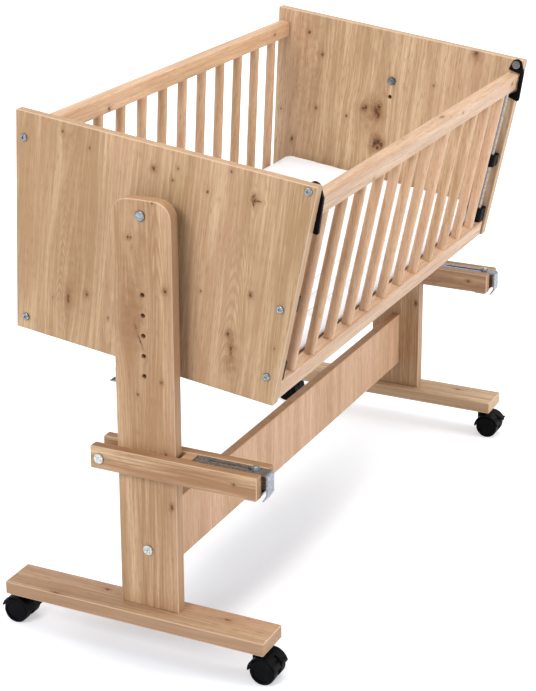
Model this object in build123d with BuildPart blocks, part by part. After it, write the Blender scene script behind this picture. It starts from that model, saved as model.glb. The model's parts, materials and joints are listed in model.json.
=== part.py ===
"""Bedside crib: a slatted cradle hung between two posts on castored feet.

Sizes are in millimetres. +Z is up and +X runs along the crib. The front, at -Y, is the side with the
gate that slides down, and "near" is the end at -X. The origin is on the floor, under the middle.
The cradle is drawn in its own tilted frame, whose origin is the line of the pivot bolts.
"""

from build123d import *
import os
from math import cos, hypot, radians, sin

os.makedirs("parts", exist_ok=True)

# Cradle box, seen from its end: a trapezoid, wider at the top
inner_length = 905.0
panel_thick = 18.0
panel_top_width = 503.0
panel_bottom_width = 447.0
panel_height = 350.0
panel_above_pivot = 94.0
cradle_tilt = 7.2
lock_hole_drop = 32.0

# Rails and round bars of the two long sides
rail_width = 30.0
rail_thick = 22.0
rail_inset = 3.0
top_rail_drop = 26.0
bar_diameter = 17.0
bar_end_inset = 58.5
bar_count = 12
bar_socket_depth = 10.0

# Gate, its guide rods, clips and catches
gate_end_gap = 6.0
gate_travel = 128.0
rod_diameter = 8.0
rod_from_panel = 16.5
clip_wall = 5.0
clip_height = 23.0
low_clip_height = 27.0
clip_gap = 0.6
catch_thick = 5.0
catch_arm = 7.0
catch_lobe = 19.0
catch_gap = 0.8
catch_lean = 1.0
catch_nose = 19.0
catch_nose_drop = 14.0
catch_nose_round = 1.2
catch_foot_drop = 17.0
catch_tip_in = 12.0
catch_tip_drop = 10.8
catch_tip_round = 1.5

# Through bolts of the end panels
panel_bolt_diameter = 6.0
panel_bolt_head = 12.0
panel_bolt_head_height = 3.0
panel_bolt_head_round = 1.2
rail_bolt_depth = 30.0
clip_bolt_depth = 11.0
top_bolt_inset = 15.2
low_bolt_inset = 17.7
low_bolt_rise = 21.0
clip_bolt_inset = 18.5
catch_bolt_inset = 12.5
catch_bolt_drop = 8.5
catch_nut = 15.0
catch_nut_height = 4.0

# Bed base and mattress
mattress_end_gap = 2.5
mattress_thick = 50.0
mattress_corner = 16.0
mattress_crown = 3.0
mattress_edge = 6.0
mattress_waist = 3.0
mattress_dome = 90.0
slat_width = 60.0
slat_thick = 9.0
slat_count = 5
cleat_width = 20.0
cleat_height = 7.0
cleat_side_gap = 7.0
batten_width = 40.0

# Posts, feet and stretcher
panel_gap = 24.0
post_thick = 22.0
post_width = 100.0
post_height = 660.0
post_corner = 28.0
post_crown = 3.0
pivot_drop = 24.0
first_hole_drop = 122.3
hole_pitch = 32.0
hole_count = 5
hole_diameter = 8.0
foot_length = 458.0
foot_width = 66.0
foot_thick = 22.0
foot_back = 21.0
foot_out = 4.5
stretcher_height = 104.0
stretcher_thick = 18.0
stretcher_rise = 47.0
foot_screw_diameter = 6.0
foot_screw_head = 11.0
foot_screw_length = 70.0
foot_screw_spacing = 60.0
stretcher_bolt_depth = 40.0
tab_width = 14.0
tab_thick = 2.0
tab_height = 24.0
tab_rise = 366.0
tab_reach = 12.0
tab_hole = 5.0

# Pivot bolts
pivot_diameter = 8.0
pivot_head = 16.0
pivot_head_height = 4.0
pivot_nut = 13.0
pivot_nut_height = 6.5
washer_thick = 1.6
pivot_bolt_end = 2.0
spacer_diameter = 20.0

# Clamping arms and bed hooks
arm_length = 282.0
arm_height = 37.0
arm_thick = 18.0
arm_reach = 194.0
arm_rise = 227.5
arm_bolt_behind_post = 22.0
arm_bolt_cover = 4.0
block_gap = 9.0
block_length = 18.5
ledge_length = 88.0
hook_thick = 3.0
hook_tail = 80.0
hook_end_gap = 7.0
hook_drop = 33.0
hook_tongue = 11.0
hook_bend = 5.0
hook_corner = 6.0
hook_travel = 75.0
hook_bolt_from_end = 15.0
seat_sleeve = 14.0
seat_plate_length = 46.0
seat_plate_width = 20.0
seat_plate_thick = 3.0
hook_nut = 11.0
hook_nut_height = 5.0

# Castors
castor_height = 56.0
castor_inset = 24.0
wheel_diameter = 42.0
wheel_round = 3.0
wheel_dish = 1.5
wheel_rim = 5.0
wheel_cap = 4.0
castor_width = 44.0
castor_web = 8.0
castor_trail = 15.5
hood_gap = 1.2
hood_wall = 2.5
hood_start = 14.0
hood_sweep = 166.0
neck_diameter = 18.0
axle_diameter = 6.0
axle_boss = 12.0
stem_diameter = 8.0
stem_in_hood = 13.5
stem_in_foot = 16.0
socket_wall = 2.0
socket_flange = 18.0
socket_flange_thick = 2.0
socket_depth = 18.0
lever_pivot_out = 7.6
lever_pivot_up = 10.4
lever_pin = 4.0
lever_blade = 4.0
lever_blade_height = 4.4
lever_reach = 30.0
lever_tab_width = 14.0
lever_tab_thick = 3.0
lever_tab_length = 7.0
lever_rise = 8.0
lever_pocket_in = 3.8
lever_pocket_low = 3.4
lever_pocket_high = 22.0

# Clearances and finishes
pin_clearance = 0.05
side_clearance = 0.3
soft_clearance = 0.3
catch_clearance = 0.5
hole_clearance = 0.05
edge_round = 2.0
rail_round = 3.0
bar_end_clearance = 0.2
socket_drive = 5.0
socket_drive_depth = 1.6

# Places worked out from the sizes above
post_bottom = castor_height + foot_thick
post_top = post_bottom + post_height
pivot_z = post_top - pivot_drop
panel_in = inner_length / 2
panel_out = panel_in + panel_thick
post_in = panel_out + panel_gap
post_out = post_in + post_thick
foot_x = (post_in + post_out) / 2 + foot_out
panel_top = panel_above_pivot
panel_bottom = panel_top - panel_height
edge_slope = (panel_top_width - panel_bottom_width) / 2 / panel_height
edge_stretch = hypot(panel_height, (panel_top_width - panel_bottom_width) / 2) / panel_height
axle_z = wheel_diameter / 2
hood_inner = wheel_diameter / 2 + hood_gap
hood_outer = hood_inner + hood_wall
tilt_cos = cos(radians(cradle_tilt))
tilt_sin = sin(radians(cradle_tilt))

mattress_length = inner_length - 2 * mattress_end_gap
mattress_width = panel_bottom_width - 2 * (rail_inset + rail_thick)
bar_pitch = (inner_length - 2 * bar_end_inset) / (bar_count - 1)
cleat_length = mattress_width - 2 * cleat_side_gap


def edge_y(z):
    """Half the cradle's outer width at height z above the pivot."""
    return panel_bottom_width / 2 + edge_slope * (z - panel_bottom)


# The box around everything is centred on the origin: its front is the shoulder of the gate catches and
# its rear is the rear wheels
rail_top_z = panel_top - top_rail_drop
spine_top_y = rail_inset - edge_y(rail_top_z) - catch_gap - catch_arm / 2
spine_top_z = rail_top_z + catch_gap + catch_arm / 2
front_reach = spine_top_z * tilt_sin - spine_top_y * tilt_cos + catch_arm / 2
rear_reach = foot_back + foot_length / 2 - castor_inset + castor_trail + wheel_diameter / 2
post_y = (front_reach - rear_reach) / 2

ends = {"near": -1, "far": 1}
front = -1
rear = 1


def level(z):
    """The horizontal plane at height z, with its origin on the posts' centre line."""
    return Plane(origin=(0, post_y, z))


def section(x):
    """The upright plane across the crib at x: its first axis is +Y and its second +Z."""
    return Plane(origin=(x, post_y, 0), x_dir=(0, 1, 0), z_dir=(1, 0, 0))


pivot_frame = Plane(origin=(0, post_y, pivot_z), z_dir=(0, -tilt_sin, tilt_cos), x_dir=(1, 0, 0))


def cradle_section(x):
    """The same upright plane in the cradle's tilted frame, measured from the pivot."""
    return Plane(origin=pivot_frame.from_local_coords((x, 0, 0)), x_dir=pivot_frame.y_dir, z_dir=(1, 0, 0))


def cradle_level(z):
    """A plane across the cradle at height z above the pivot, tilted with it."""
    return Plane(origin=pivot_frame.from_local_coords((0, 0, z)), x_dir=(1, 0, 0), z_dir=pivot_frame.z_dir)


def side_plane(side, along, inward):
    """A plane square to one slanted side, so far along its slope from the bottom and inward from its face."""
    rise = along / edge_stretch
    out = side * (edge_y(panel_bottom + rise) - rail_inset - inward / edge_stretch)
    height = panel_bottom + rise + inward * edge_slope / edge_stretch
    origin = pivot_frame.from_local_coords((0, out, height))
    slope_up = pivot_frame.from_local_coords((0, side * edge_slope, 1)) - pivot_frame.origin
    return Plane(origin=origin, x_dir=(1, 0, 0), z_dir=slope_up)


def side_section(side, along):
    """A plane across the crib at x = 0, its first axis inward from a slanted face and its second up it."""
    plane = side_plane(side, along, 0)
    inward = side_plane(side, along, rail_thick).origin - plane.origin
    return Plane(origin=plane.origin, x_dir=inward, z_dir=(-side, 0, 0))


# Distances along the slope of a side
slope_length = panel_height * edge_stretch
top_rail_along = slope_length - top_rail_drop * edge_stretch - rail_width
rod_x = panel_in - rod_from_panel
gate_length = inner_length - 2 * gate_end_gap
low_clip_along = rail_width + clip_gap
mid_clip_along = top_rail_along - gate_travel - clip_height - clip_gap

# Bolts through each end panel: place across, place up, and how far they go in
top_bolt_z = rail_top_z - rail_width / 2
low_bolt_z = panel_bottom + low_bolt_rise
catch_bolt_z = panel_top - catch_bolt_drop
mid_clip_z = panel_bottom + (mid_clip_along + clip_height / 2) / edge_stretch
low_clip_z = panel_bottom + (low_clip_along + low_clip_height / 2) / edge_stretch
rail_bolt_places = [
    (edge_y(top_bolt_z) - top_bolt_inset, top_bolt_z),
    (edge_y(low_bolt_z) - low_bolt_inset, low_bolt_z),
]
clip_bolt_places = [
    (clip_bolt_inset - edge_y(mid_clip_z), mid_clip_z),
    (clip_bolt_inset - edge_y(low_clip_z), low_clip_z),
]
catch_bolt_place = (catch_bolt_inset - edge_y(catch_bolt_z), catch_bolt_z)
panel_bolt_bore = panel_bolt_diameter / 2 + hole_clearance
catch_bore = panel_bolt_diameter / 2 + pin_clearance
catch_far = panel_in - catch_clearance
catch_near = catch_far - catch_thick

# Stand
for end, way in ends.items():
    with BuildPart() as foot:
        with BuildSketch(level(castor_height)):
            with Locations((way * foot_x, foot_back)):
                Rectangle(foot_width, foot_length)
        extrude(amount=foot_thick)
        fillet(foot.edges(), edge_round)
        with BuildSketch(level(castor_height)):
            with Locations((way * foot_x, foot_back)):
                with GridLocations(0, foot_length - 2 * castor_inset, 1, 2):
                    Circle(stem_diameter / 2 + socket_wall + hole_clearance)
        extrude(amount=socket_depth, mode=Mode.SUBTRACT)
        with BuildSketch(level(castor_height)):
            with Locations((way * (post_in + post_out) / 2, 0)):
                with GridLocations(0, foot_screw_spacing, 1, 2):
                    Circle(foot_screw_diameter / 2 + hole_clearance)
        extrude(amount=foot_thick, mode=Mode.SUBTRACT)
        with BuildSketch(level(castor_height)):
            with Locations((way * (post_in + post_out) / 2, 0)):
                with GridLocations(0, foot_screw_spacing, 1, 2):
                    Circle(foot_screw_head / 2 + hole_clearance)
        extrude(amount=panel_bolt_head_height, mode=Mode.SUBTRACT)
    foot.part.label = f"foot_{end}"
    export_step(foot.part, f"parts/foot_{end}.step")

    with BuildPart() as post:
        with BuildSketch(section(way * post_in)) as outline:
            with BuildLine():
                shoulder = post_top - post_crown
                Line((-post_width / 2, post_bottom), (post_width / 2, post_bottom))
                Line((post_width / 2, post_bottom), (post_width / 2, shoulder))
                ThreePointArc((post_width / 2, shoulder), (0, post_top), (-post_width / 2, shoulder))
                Line((-post_width / 2, shoulder), (-post_width / 2, post_bottom))
            make_face()
            fillet(outline.vertices().group_by(Axis.Y)[-1], post_corner)
        extrude(amount=way * post_thick)
        fillet(post.faces().filter_by(Axis.X).edges(), edge_round)
        with BuildSketch(section(way * post_in)):
            with Locations((0, pivot_z)):
                Circle(pivot_diameter / 2 + hole_clearance)
            for hole in range(hole_count):
                with Locations((0, pivot_z - first_hole_drop - hole * hole_pitch)):
                    Circle(hole_diameter / 2)
            with Locations((0, post_bottom + stretcher_rise + stretcher_height / 2)):
                Circle(panel_bolt_bore)
        extrude(amount=way * post_thick, mode=Mode.SUBTRACT)
        with BuildSketch(level(post_bottom)):
            with Locations((way * (post_in + post_out) / 2, 0)):
                with GridLocations(0, foot_screw_spacing, 1, 2):
                    Circle(foot_screw_diameter / 2 + hole_clearance)
        extrude(amount=foot_screw_length - foot_thick, mode=Mode.SUBTRACT)
    post.part.label = f"post_{end}"
    export_step(post.part, f"parts/post_{end}.step")

with BuildPart() as stretcher:
    stretcher_bottom = post_bottom + stretcher_rise
    with BuildSketch(section(0)):
        with Locations((0, stretcher_bottom + stretcher_height / 2)):
            Rectangle(stretcher_thick, stretcher_height)
    extrude(amount=post_in, both=True)
    fillet(stretcher.edges().filter_by(Axis.X), edge_round)
    for way in ends.values():
        with BuildSketch(section(way * post_in)):
            with Locations((0, stretcher_bottom + stretcher_height / 2)):
                Circle(panel_bolt_bore)
        extrude(amount=-way * stretcher_bolt_depth, mode=Mode.SUBTRACT)
stretcher.part.label = "stretcher"
export_step(stretcher.part, "parts/stretcher.step")

with BuildPart() as stretcher_bolts:
    for way in ends.values():
        with BuildSketch(section(way * post_out)):
            with Locations((0, stretcher_bottom + stretcher_height / 2)):
                Circle(pivot_head / 2)
        extrude(amount=way * panel_bolt_head_height)
        with BuildSketch(section(way * post_out)):
            with Locations((0, stretcher_bottom + stretcher_height / 2)):
                Circle(panel_bolt_diameter / 2)
        extrude(amount=-way * (post_thick + stretcher_bolt_depth - bar_end_clearance))
        with BuildSketch(section(way * (post_out + panel_bolt_head_height))):
            with Locations((0, stretcher_bottom + stretcher_height / 2)):
                RegularPolygon(socket_drive / 2, 6)
        extrude(amount=-way * socket_drive_depth, mode=Mode.SUBTRACT)
stretcher_bolts.part.label = "stretcher_bolts"
export_step(stretcher_bolts.part, "parts/stretcher_bolts.step")

with BuildPart() as foot_screws:
    for way in ends.values():
        with BuildSketch(level(castor_height)):
            with Locations((way * (post_in + post_out) / 2, 0)):
                with GridLocations(0, foot_screw_spacing, 1, 2):
                    Circle(foot_screw_head / 2)
        extrude(amount=panel_bolt_head_height)
        with BuildSketch(level(castor_height)):
            with Locations((way * (post_in + post_out) / 2, 0)):
                with GridLocations(0, foot_screw_spacing, 1, 2):
                    Circle(foot_screw_diameter / 2)
        extrude(amount=foot_screw_length - bar_end_clearance)
foot_screws.part.label = "foot_screws"
export_step(foot_screws.part, "parts/foot_screws.step")

# A pivot bolt runs from the post's outer face to a nut inside the cradle
nut_face = panel_in - side_clearance - washer_thick
with BuildPart() as pivot_bolts:
    for way in ends.values():
        with BuildSketch(section(way * post_out)):
            with Locations((0, pivot_z)):
                Circle(pivot_head / 2)
        extrude(amount=way * pivot_head_height)
        outermost = 0 if way < 0 else -1
        fillet(pivot_bolts.edges().filter_by(GeomType.CIRCLE).group_by(Axis.X)[outermost], edge_round)
        with BuildSketch(section(way * post_out)):
            with Locations((0, pivot_z)):
                Circle(pivot_diameter / 2)
        extrude(amount=-way * (post_out - nut_face + pivot_nut_height + pivot_bolt_end))
pivot_bolts.part.label = "pivot_bolts"
export_step(pivot_bolts.part, "parts/pivot_bolts.step")

with BuildPart() as pivot_nuts:
    for way in ends.values():
        with BuildSketch(section(way * (panel_in - side_clearance))):
            with Locations((0, pivot_z)):
                Circle(pivot_head / 2)
                Circle(pivot_diameter / 2, mode=Mode.SUBTRACT)
        extrude(amount=-way * washer_thick)
        with BuildSketch(section(way * nut_face)):
            with Locations((0, pivot_z)):
                RegularPolygon(pivot_nut / 2, 6, major_radius=False)
                Circle(pivot_diameter / 2, mode=Mode.SUBTRACT)
        extrude(amount=-way * pivot_nut_height)
pivot_nuts.part.label = "pivot_nuts"
export_step(pivot_nuts.part, "parts/pivot_nuts.step")

with BuildPart() as pivot_spacers:
    for way in ends.values():
        with BuildSketch(section(way * post_in)):
            with Locations((0, pivot_z)):
                Circle(spacer_diameter / 2)
                Circle(pivot_diameter / 2 + hole_clearance, mode=Mode.SUBTRACT)
        extrude(amount=-way * (panel_gap - side_clearance))
pivot_spacers.part.label = "pivot_spacers"
export_step(pivot_spacers.part, "parts/pivot_spacers.step")

# Small angle tabs on the rear edges of the posts, for a strap
with BuildPart() as tether_tabs:
    tab_z = post_bottom + tab_rise
    for way in ends.values():
        tab_x = way * (post_in + post_out) / 2
        with BuildSketch(level(tab_z)):
            with Locations((tab_x, post_width / 2)):
                Rectangle(tab_width, tab_thick, align=(Align.CENTER, Align.MIN))
        extrude(amount=tab_height)
        with BuildSketch(level(tab_z)):
            with Locations((tab_x, post_width / 2)):
                Rectangle(tab_width, tab_reach, align=(Align.CENTER, Align.MIN))
            with Locations((tab_x, post_width / 2 + tab_reach - tab_width / 2)):
                Circle(tab_hole / 2, mode=Mode.SUBTRACT)
        extrude(amount=tab_thick)
tether_tabs.part.label = "tether_tabs"
export_step(tether_tabs.part, "parts/tether_tabs.step")

# Castors: sleeves in the feet, then one swivelling hood with its stem, axle, wheels and brake lever each
castor_places = {}
for end, way in ends.items():
    castor_places[f"{end}_front"] = (way * foot_x, foot_back - foot_length / 2 + castor_inset, front)
    castor_places[f"{end}_rear"] = (way * foot_x, foot_back + foot_length / 2 - castor_inset, rear)

with BuildPart() as castor_sockets:
    for swivel_x, swivel_y, trail_way in castor_places.values():
        with BuildSketch(level(castor_height)):
            with Locations((swivel_x, swivel_y)):
                Circle(socket_flange / 2)
                Circle(stem_diameter / 2 + pin_clearance, mode=Mode.SUBTRACT)
        extrude(amount=-socket_flange_thick)
        with BuildSketch(level(castor_height)):
            with Locations((swivel_x, swivel_y)):
                Circle(stem_diameter / 2 + socket_wall)
                Circle(stem_diameter / 2 + pin_clearance, mode=Mode.SUBTRACT)
        extrude(amount=socket_depth)
castor_sockets.part.label = "castor_sockets"
export_step(castor_sockets.part, "parts/castor_sockets.step")

neck_top = castor_height - socket_flange_thick - side_clearance
for place, (swivel_x, swivel_y, trail_way) in castor_places.items():
    axle_y = swivel_y + trail_way * castor_trail
    braked = trail_way == front
    hood_from = hood_start if trail_way == rear else 180 - hood_start - hood_sweep
    axle_section = Plane(origin=(swivel_x, post_y + axle_y, axle_z), x_dir=(0, 1, 0), z_dir=(1, 0, 0))

    with BuildPart() as hood:
        with BuildSketch(axle_section):
            with BuildLine():
                pie = CenterArc((0, 0), hood_outer, hood_from, hood_sweep)
                Line((0, 0), pie @ 0)
                Line(pie @ 1, (0, 0))
            make_face()
        extrude(amount=castor_width / 2, both=True)
        with BuildSketch(level(axle_z)):
            with Locations((swivel_x, swivel_y)):
                Circle(neck_diameter / 2)
        extrude(amount=neck_top - axle_z)
        for well in (-1, 1):
            with BuildSketch(section(swivel_x + well * castor_web / 2)):
                with Locations((axle_y, axle_z)):
                    Circle(hood_inner)
            extrude(amount=well * castor_width / 2, mode=Mode.SUBTRACT)
        with BuildSketch(section(swivel_x)):
            with Locations((axle_y, axle_z)):
                Circle(axle_boss / 2)
        extrude(amount=castor_web / 2, both=True)
        with BuildSketch(section(swivel_x)):
            with Locations((axle_y, axle_z)):
                Circle(axle_diameter / 2)
        extrude(amount=castor_web / 2, both=True, mode=Mode.SUBTRACT)
        with BuildSketch(level(neck_top - stem_in_hood)):
            with Locations((swivel_x, swivel_y)):
                Circle(stem_diameter / 2)
        extrude(amount=stem_in_hood, mode=Mode.SUBTRACT)
        if braked:
            with BuildSketch(axle_section):
                pocket_middle = trail_way * (lever_pocket_in + lever_reach) / 2
                with Locations((pocket_middle, (lever_pocket_low + lever_pocket_high) / 2)):
                    Rectangle(lever_reach - lever_pocket_in, lever_pocket_high - lever_pocket_low)
            extrude(amount=lever_blade / 2 + side_clearance, both=True, mode=Mode.SUBTRACT)
            with BuildSketch(section(swivel_x)):
                with Locations((axle_y + trail_way * lever_pivot_out, axle_z + lever_pivot_up)):
                    Circle(lever_pin / 2 + pin_clearance)
            extrude(amount=castor_web / 2, both=True, mode=Mode.SUBTRACT)
    hood.part.label = f"castor_hood_{place}"
    export_step(hood.part, f"parts/castor_hood_{place}.step")

    with BuildPart() as pins:
        with BuildSketch(level(neck_top - stem_in_hood)):
            with Locations((swivel_x, swivel_y)):
                Circle(stem_diameter / 2)
        extrude(amount=castor_height + stem_in_foot - neck_top + stem_in_hood)
        with BuildSketch(section(swivel_x)):
            with Locations((axle_y, axle_z)):
                Circle(axle_diameter / 2)
        extrude(amount=castor_width / 2 - wheel_cap, both=True)
    pins.part.label = f"castor_pins_{place}"
    export_step(pins.part, f"parts/castor_pins_{place}.step")

    for hand, well in (("left", -1), ("right", 1)):
        with BuildPart() as wheel:
            inner_face = swivel_x + well * (castor_web / 2 + side_clearance)
            wheel_width = castor_width / 2 - castor_web / 2 - side_clearance
            with BuildSketch(section(inner_face)):
                with Locations((axle_y, axle_z)):
                    Circle(wheel_diameter / 2)
            extrude(amount=well * wheel_width)
            fillet(wheel.edges().filter_by(GeomType.CIRCLE), wheel_round)
            with BuildSketch(section(inner_face + well * wheel_width)):
                with Locations((axle_y, axle_z)):
                    Circle(wheel_diameter / 2 - wheel_rim)
            extrude(amount=-well * wheel_dish, mode=Mode.SUBTRACT)
            with BuildSketch(section(inner_face)):
                with Locations((axle_y, axle_z)):
                    Circle(axle_diameter / 2 + pin_clearance)
            extrude(amount=well * (wheel_width - wheel_cap + side_clearance), mode=Mode.SUBTRACT)
        wheel.part.label = f"castor_wheel_{place}_{hand}"
        export_step(wheel.part, f"parts/castor_wheel_{place}_{hand}.step")

    if braked:
        with BuildPart() as lever:
            pivot_out = axle_y + trail_way * lever_pivot_out
            pivot_up = axle_z + lever_pivot_up
            tab_start = axle_y + trail_way * (lever_reach - lever_tab_length)
            tab_end = axle_y + trail_way * (lever_reach - lever_tab_thick / 2)
            tip_up = pivot_up + lever_rise
            with BuildSketch(section(swivel_x)):
                middle = ((pivot_out + tab_start) / 2, (pivot_up + tip_up) / 2)
                SlotCenterPoint(middle, (tab_start, tip_up), lever_blade_height)
            extrude(amount=lever_blade / 2, both=True)
            with BuildSketch(section(swivel_x)):
                with Locations((pivot_out, pivot_up)):
                    Circle(lever_pin / 2)
            extrude(amount=castor_web / 2 - side_clearance, both=True)
            with BuildSketch(section(swivel_x)):
                SlotCenterPoint(((tab_start + tab_end) / 2, tip_up), (tab_end, tip_up), lever_tab_thick)
            extrude(amount=lever_tab_width / 2, both=True)
        lever.part.label = f"brake_lever_{place}"
        export_step(lever.part, f"parts/brake_lever_{place}.step")

# Clamping arms: a bar on each face of a post, a stepped block and a steel seat between them
arm_z = post_bottom + arm_rise
arm_top = arm_z + arm_height
arm_front = -arm_reach
bar_inner_x = post_in - side_clearance
bar_outer_x = post_out + side_clearance
channel_x = (bar_inner_x + bar_outer_x) / 2
channel_width = bar_outer_x - bar_inner_x
arm_bolt_y = post_width / 2 + arm_bolt_behind_post
arm_bolt_z = arm_z + arm_height / 2
hook_bolt_y = arm_front + hook_bolt_from_end
strap_top = arm_top - side_clearance
strap_bottom = strap_top - hook_thick
block_back = -post_width / 2 - block_gap
hook_width = channel_width - 2 * side_clearance
arm_bolt_bore = panel_bolt_diameter / 2 + hole_clearance
seat_bottom = arm_z - seat_plate_thick

for end, way in ends.items():
    for which, face_x, out in (("inner", bar_inner_x, -1), ("outer", bar_outer_x, 1)):
        with BuildPart() as bar:
            with BuildSketch(section(way * face_x)):
                with Locations((arm_front, arm_z)):
                    Rectangle(arm_length, arm_height, align=(Align.MIN, Align.MIN))
            extrude(amount=way * out * arm_thick)
            fillet(bar.edges(), edge_round)
            depth = arm_thick if which == "outer" else arm_thick - arm_bolt_cover
            with BuildSketch(section(way * face_x)):
                with Locations((arm_bolt_y, arm_bolt_z)):
                    Circle(arm_bolt_bore)
            extrude(amount=way * out * depth, mode=Mode.SUBTRACT)
        bar.part.label = f"arm_{which}_bar_{end}"
        export_step(bar.part, f"parts/arm_{which}_bar_{end}.step")

    with BuildPart() as block:
        with BuildSketch(section(way * bar_inner_x)):
            with BuildLine():
                step_y = block_back - block_length
                ledge_y = step_y - ledge_length
                Polyline(
                    (block_back, arm_z), (block_back, arm_top), (step_y, arm_top), (step_y, strap_bottom),
                    (ledge_y, strap_bottom), (ledge_y, arm_z), (block_back, arm_z),
                )
            make_face()
        extrude(amount=way * channel_width)
    block.part.label = f"arm_block_{end}"
    export_step(block.part, f"parts/arm_block_{end}.step")

    with BuildPart() as seat:
        with BuildSketch(level(seat_bottom)):
            with Locations((way * channel_x, hook_bolt_y)):
                Rectangle(seat_plate_length, seat_plate_width)
        extrude(amount=seat_plate_thick)
        with BuildSketch(level(arm_z)):
            with Locations((way * channel_x, hook_bolt_y)):
                Circle(seat_sleeve / 2)
        extrude(amount=strap_bottom - arm_z)
        with BuildSketch(level(seat_bottom)):
            with Locations((way * channel_x, hook_bolt_y)):
                Circle(arm_bolt_bore)
        extrude(amount=strap_bottom - seat_bottom, mode=Mode.SUBTRACT)
    seat.part.label = f"hook_seat_{end}"
    export_step(seat.part, f"parts/hook_seat_{end}.step")

    with BuildPart() as arm_bolts:
        with BuildSketch(section(way * (bar_outer_x + arm_thick))):
            with Locations((arm_bolt_y, arm_bolt_z)):
                Circle(pivot_head / 2)
        extrude(amount=way * panel_bolt_head_height)
        with BuildSketch(section(way * (bar_outer_x + arm_thick))):
            with Locations((arm_bolt_y, arm_bolt_z)):
                Circle(panel_bolt_diameter / 2)
        extrude(amount=-way * (2 * arm_thick + channel_width - arm_bolt_cover - bar_end_clearance))
        with BuildSketch(level(seat_bottom)):
            with Locations((way * channel_x, hook_bolt_y)):
                Circle(panel_bolt_head / 2)
        extrude(amount=-panel_bolt_head_height)
        with BuildSketch(level(seat_bottom)):
            with Locations((way * channel_x, hook_bolt_y)):
                Circle(panel_bolt_diameter / 2)
        extrude(amount=strap_top - seat_bottom + side_clearance + hook_nut_height + edge_round)
        with BuildSketch(level(strap_top + side_clearance)):
            with Locations((way * channel_x, hook_bolt_y)):
                RegularPolygon(hook_nut / 2, 6, major_radius=False)
        extrude(amount=hook_nut_height)
    arm_bolts.part.label = f"arm_bolts_{end}"
    export_step(arm_bolts.part, f"parts/arm_bolts_{end}.step")

    with BuildPart() as hook:
        with BuildSketch(section(way * channel_x)) as side_view:
            with BuildLine():
                plate_in = arm_front - hook_end_gap
                plate_out = plate_in - hook_thick
                tail = -hook_tail
                plate_end = strap_top - hook_drop
                tongue_end = plate_end - hook_tongue
                Polyline(
                    (tail, strap_bottom), (tail, strap_top), (plate_out, strap_top), (plate_out, plate_end),
                    (plate_out + hook_end_gap, tongue_end), (plate_in + hook_end_gap, tongue_end),
                    (plate_in, plate_end), (plate_in, strap_bottom), (tail, strap_bottom),
                )
            make_face()
            fillet(side_view.vertices().sort_by_distance((plate_out, strap_top, 0))[0], hook_bend)
        extrude(amount=hook_width / 2, both=True)
        with BuildSketch(Plane(origin=(way * channel_x, post_y + plate_out, 0), z_dir=(0, -1, 0))):
            for hand in (-1, 1):
                with BuildLine():
                    corner = (hand * hook_width / 2, tongue_end)
                    above = (hand * hook_width / 2, plate_end)
                    beside = (hand * (hook_width / 2 - hook_corner), tongue_end)
                    Polyline(corner, above, beside, corner)
                make_face()
        extrude(amount=-hook_end_gap - hook_thick, mode=Mode.SUBTRACT)
        with BuildSketch(level(strap_bottom)):
            slot_back = hook_bolt_y + hook_travel
            with Locations((way * channel_x, (hook_bolt_y + slot_back) / 2)):
                SlotCenterToCenter(
                    hook_travel, panel_bolt_diameter + 2 * side_clearance, rotation=90
                )
        extrude(amount=hook_thick, mode=Mode.SUBTRACT)
    hook.part.label = f"bed_hook_{end}"
    export_step(hook.part, f"parts/bed_hook_{end}.step")

# Cradle: end panels, rear side, bolts, gate clips, base and mattress
for end, way in ends.items():
    with BuildPart() as panel:
        with BuildSketch(cradle_section(way * panel_in)):
            with BuildLine():
                Polyline(
                    (-panel_bottom_width / 2, panel_bottom), (panel_bottom_width / 2, panel_bottom),
                    (panel_top_width / 2, panel_top), (-panel_top_width / 2, panel_top),
                    (-panel_bottom_width / 2, panel_bottom),
                )
            make_face()
        extrude(amount=way * panel_thick)
        fillet(panel.edges(), edge_round)
        with BuildSketch(cradle_section(way * panel_in)):
            Circle(pivot_diameter / 2 + pin_clearance)
            with Locations((0, -lock_hole_drop)):
                Circle(hole_diameter / 2)
            with Locations(*rail_bolt_places, *clip_bolt_places, catch_bolt_place):
                Circle(panel_bolt_bore)
        extrude(amount=way * panel_thick, mode=Mode.SUBTRACT)
    panel.part.label = f"end_panel_{end}"
    export_step(panel.part, f"parts/end_panel_{end}.step")


def build_rail(along, side, length):
    """One rail of a side, with blind sockets for the bars and, at the rear, bores for the end bolts."""
    top = along > rail_width
    with BuildPart() as rail:
        with BuildSketch(side_section(side, along)):
            Rectangle(rail_thick, rail_width, align=(Align.MIN, Align.MIN))
        extrude(amount=length / 2, both=True)
        fillet(rail.edges(), rail_round)
        socket_from = along if top else along + rail_width
        socket_way = 1 if top else -1
        with BuildSketch(side_plane(side, socket_from, rail_thick / 2)):
            with GridLocations(bar_pitch, 0, bar_count, 1):
                Circle(bar_diameter / 2 + hole_clearance)
        extrude(amount=socket_way * bar_socket_depth, mode=Mode.SUBTRACT)
        if side == rear:
            bolt_place = rail_bolt_places[0] if top else rail_bolt_places[1]
            for way in ends.values():
                with BuildSketch(cradle_section(way * panel_in)):
                    with Locations(bolt_place):
                        Circle(panel_bolt_bore)
                extrude(amount=-way * rail_bolt_depth, mode=Mode.SUBTRACT)
        else:
            with BuildSketch(side_plane(side, socket_from, rail_thick / 2)):
                with GridLocations(2 * rod_x, 0, 2, 1):
                    Circle(rod_diameter / 2 + hole_clearance)
            extrude(amount=socket_way * bar_socket_depth, mode=Mode.SUBTRACT)
    return rail


def build_bars(side, places, diameter):
    """Round bars or rods standing between the two rails of a side, seated in their sockets."""
    start = rail_width - bar_socket_depth + bar_end_clearance
    finish = top_rail_along + bar_socket_depth - bar_end_clearance
    with BuildPart() as bars:
        with BuildSketch(side_plane(side, start, rail_thick / 2)):
            with Locations(*places):
                Circle(diameter / 2)
        extrude(amount=finish - start)
    return bars


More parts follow.
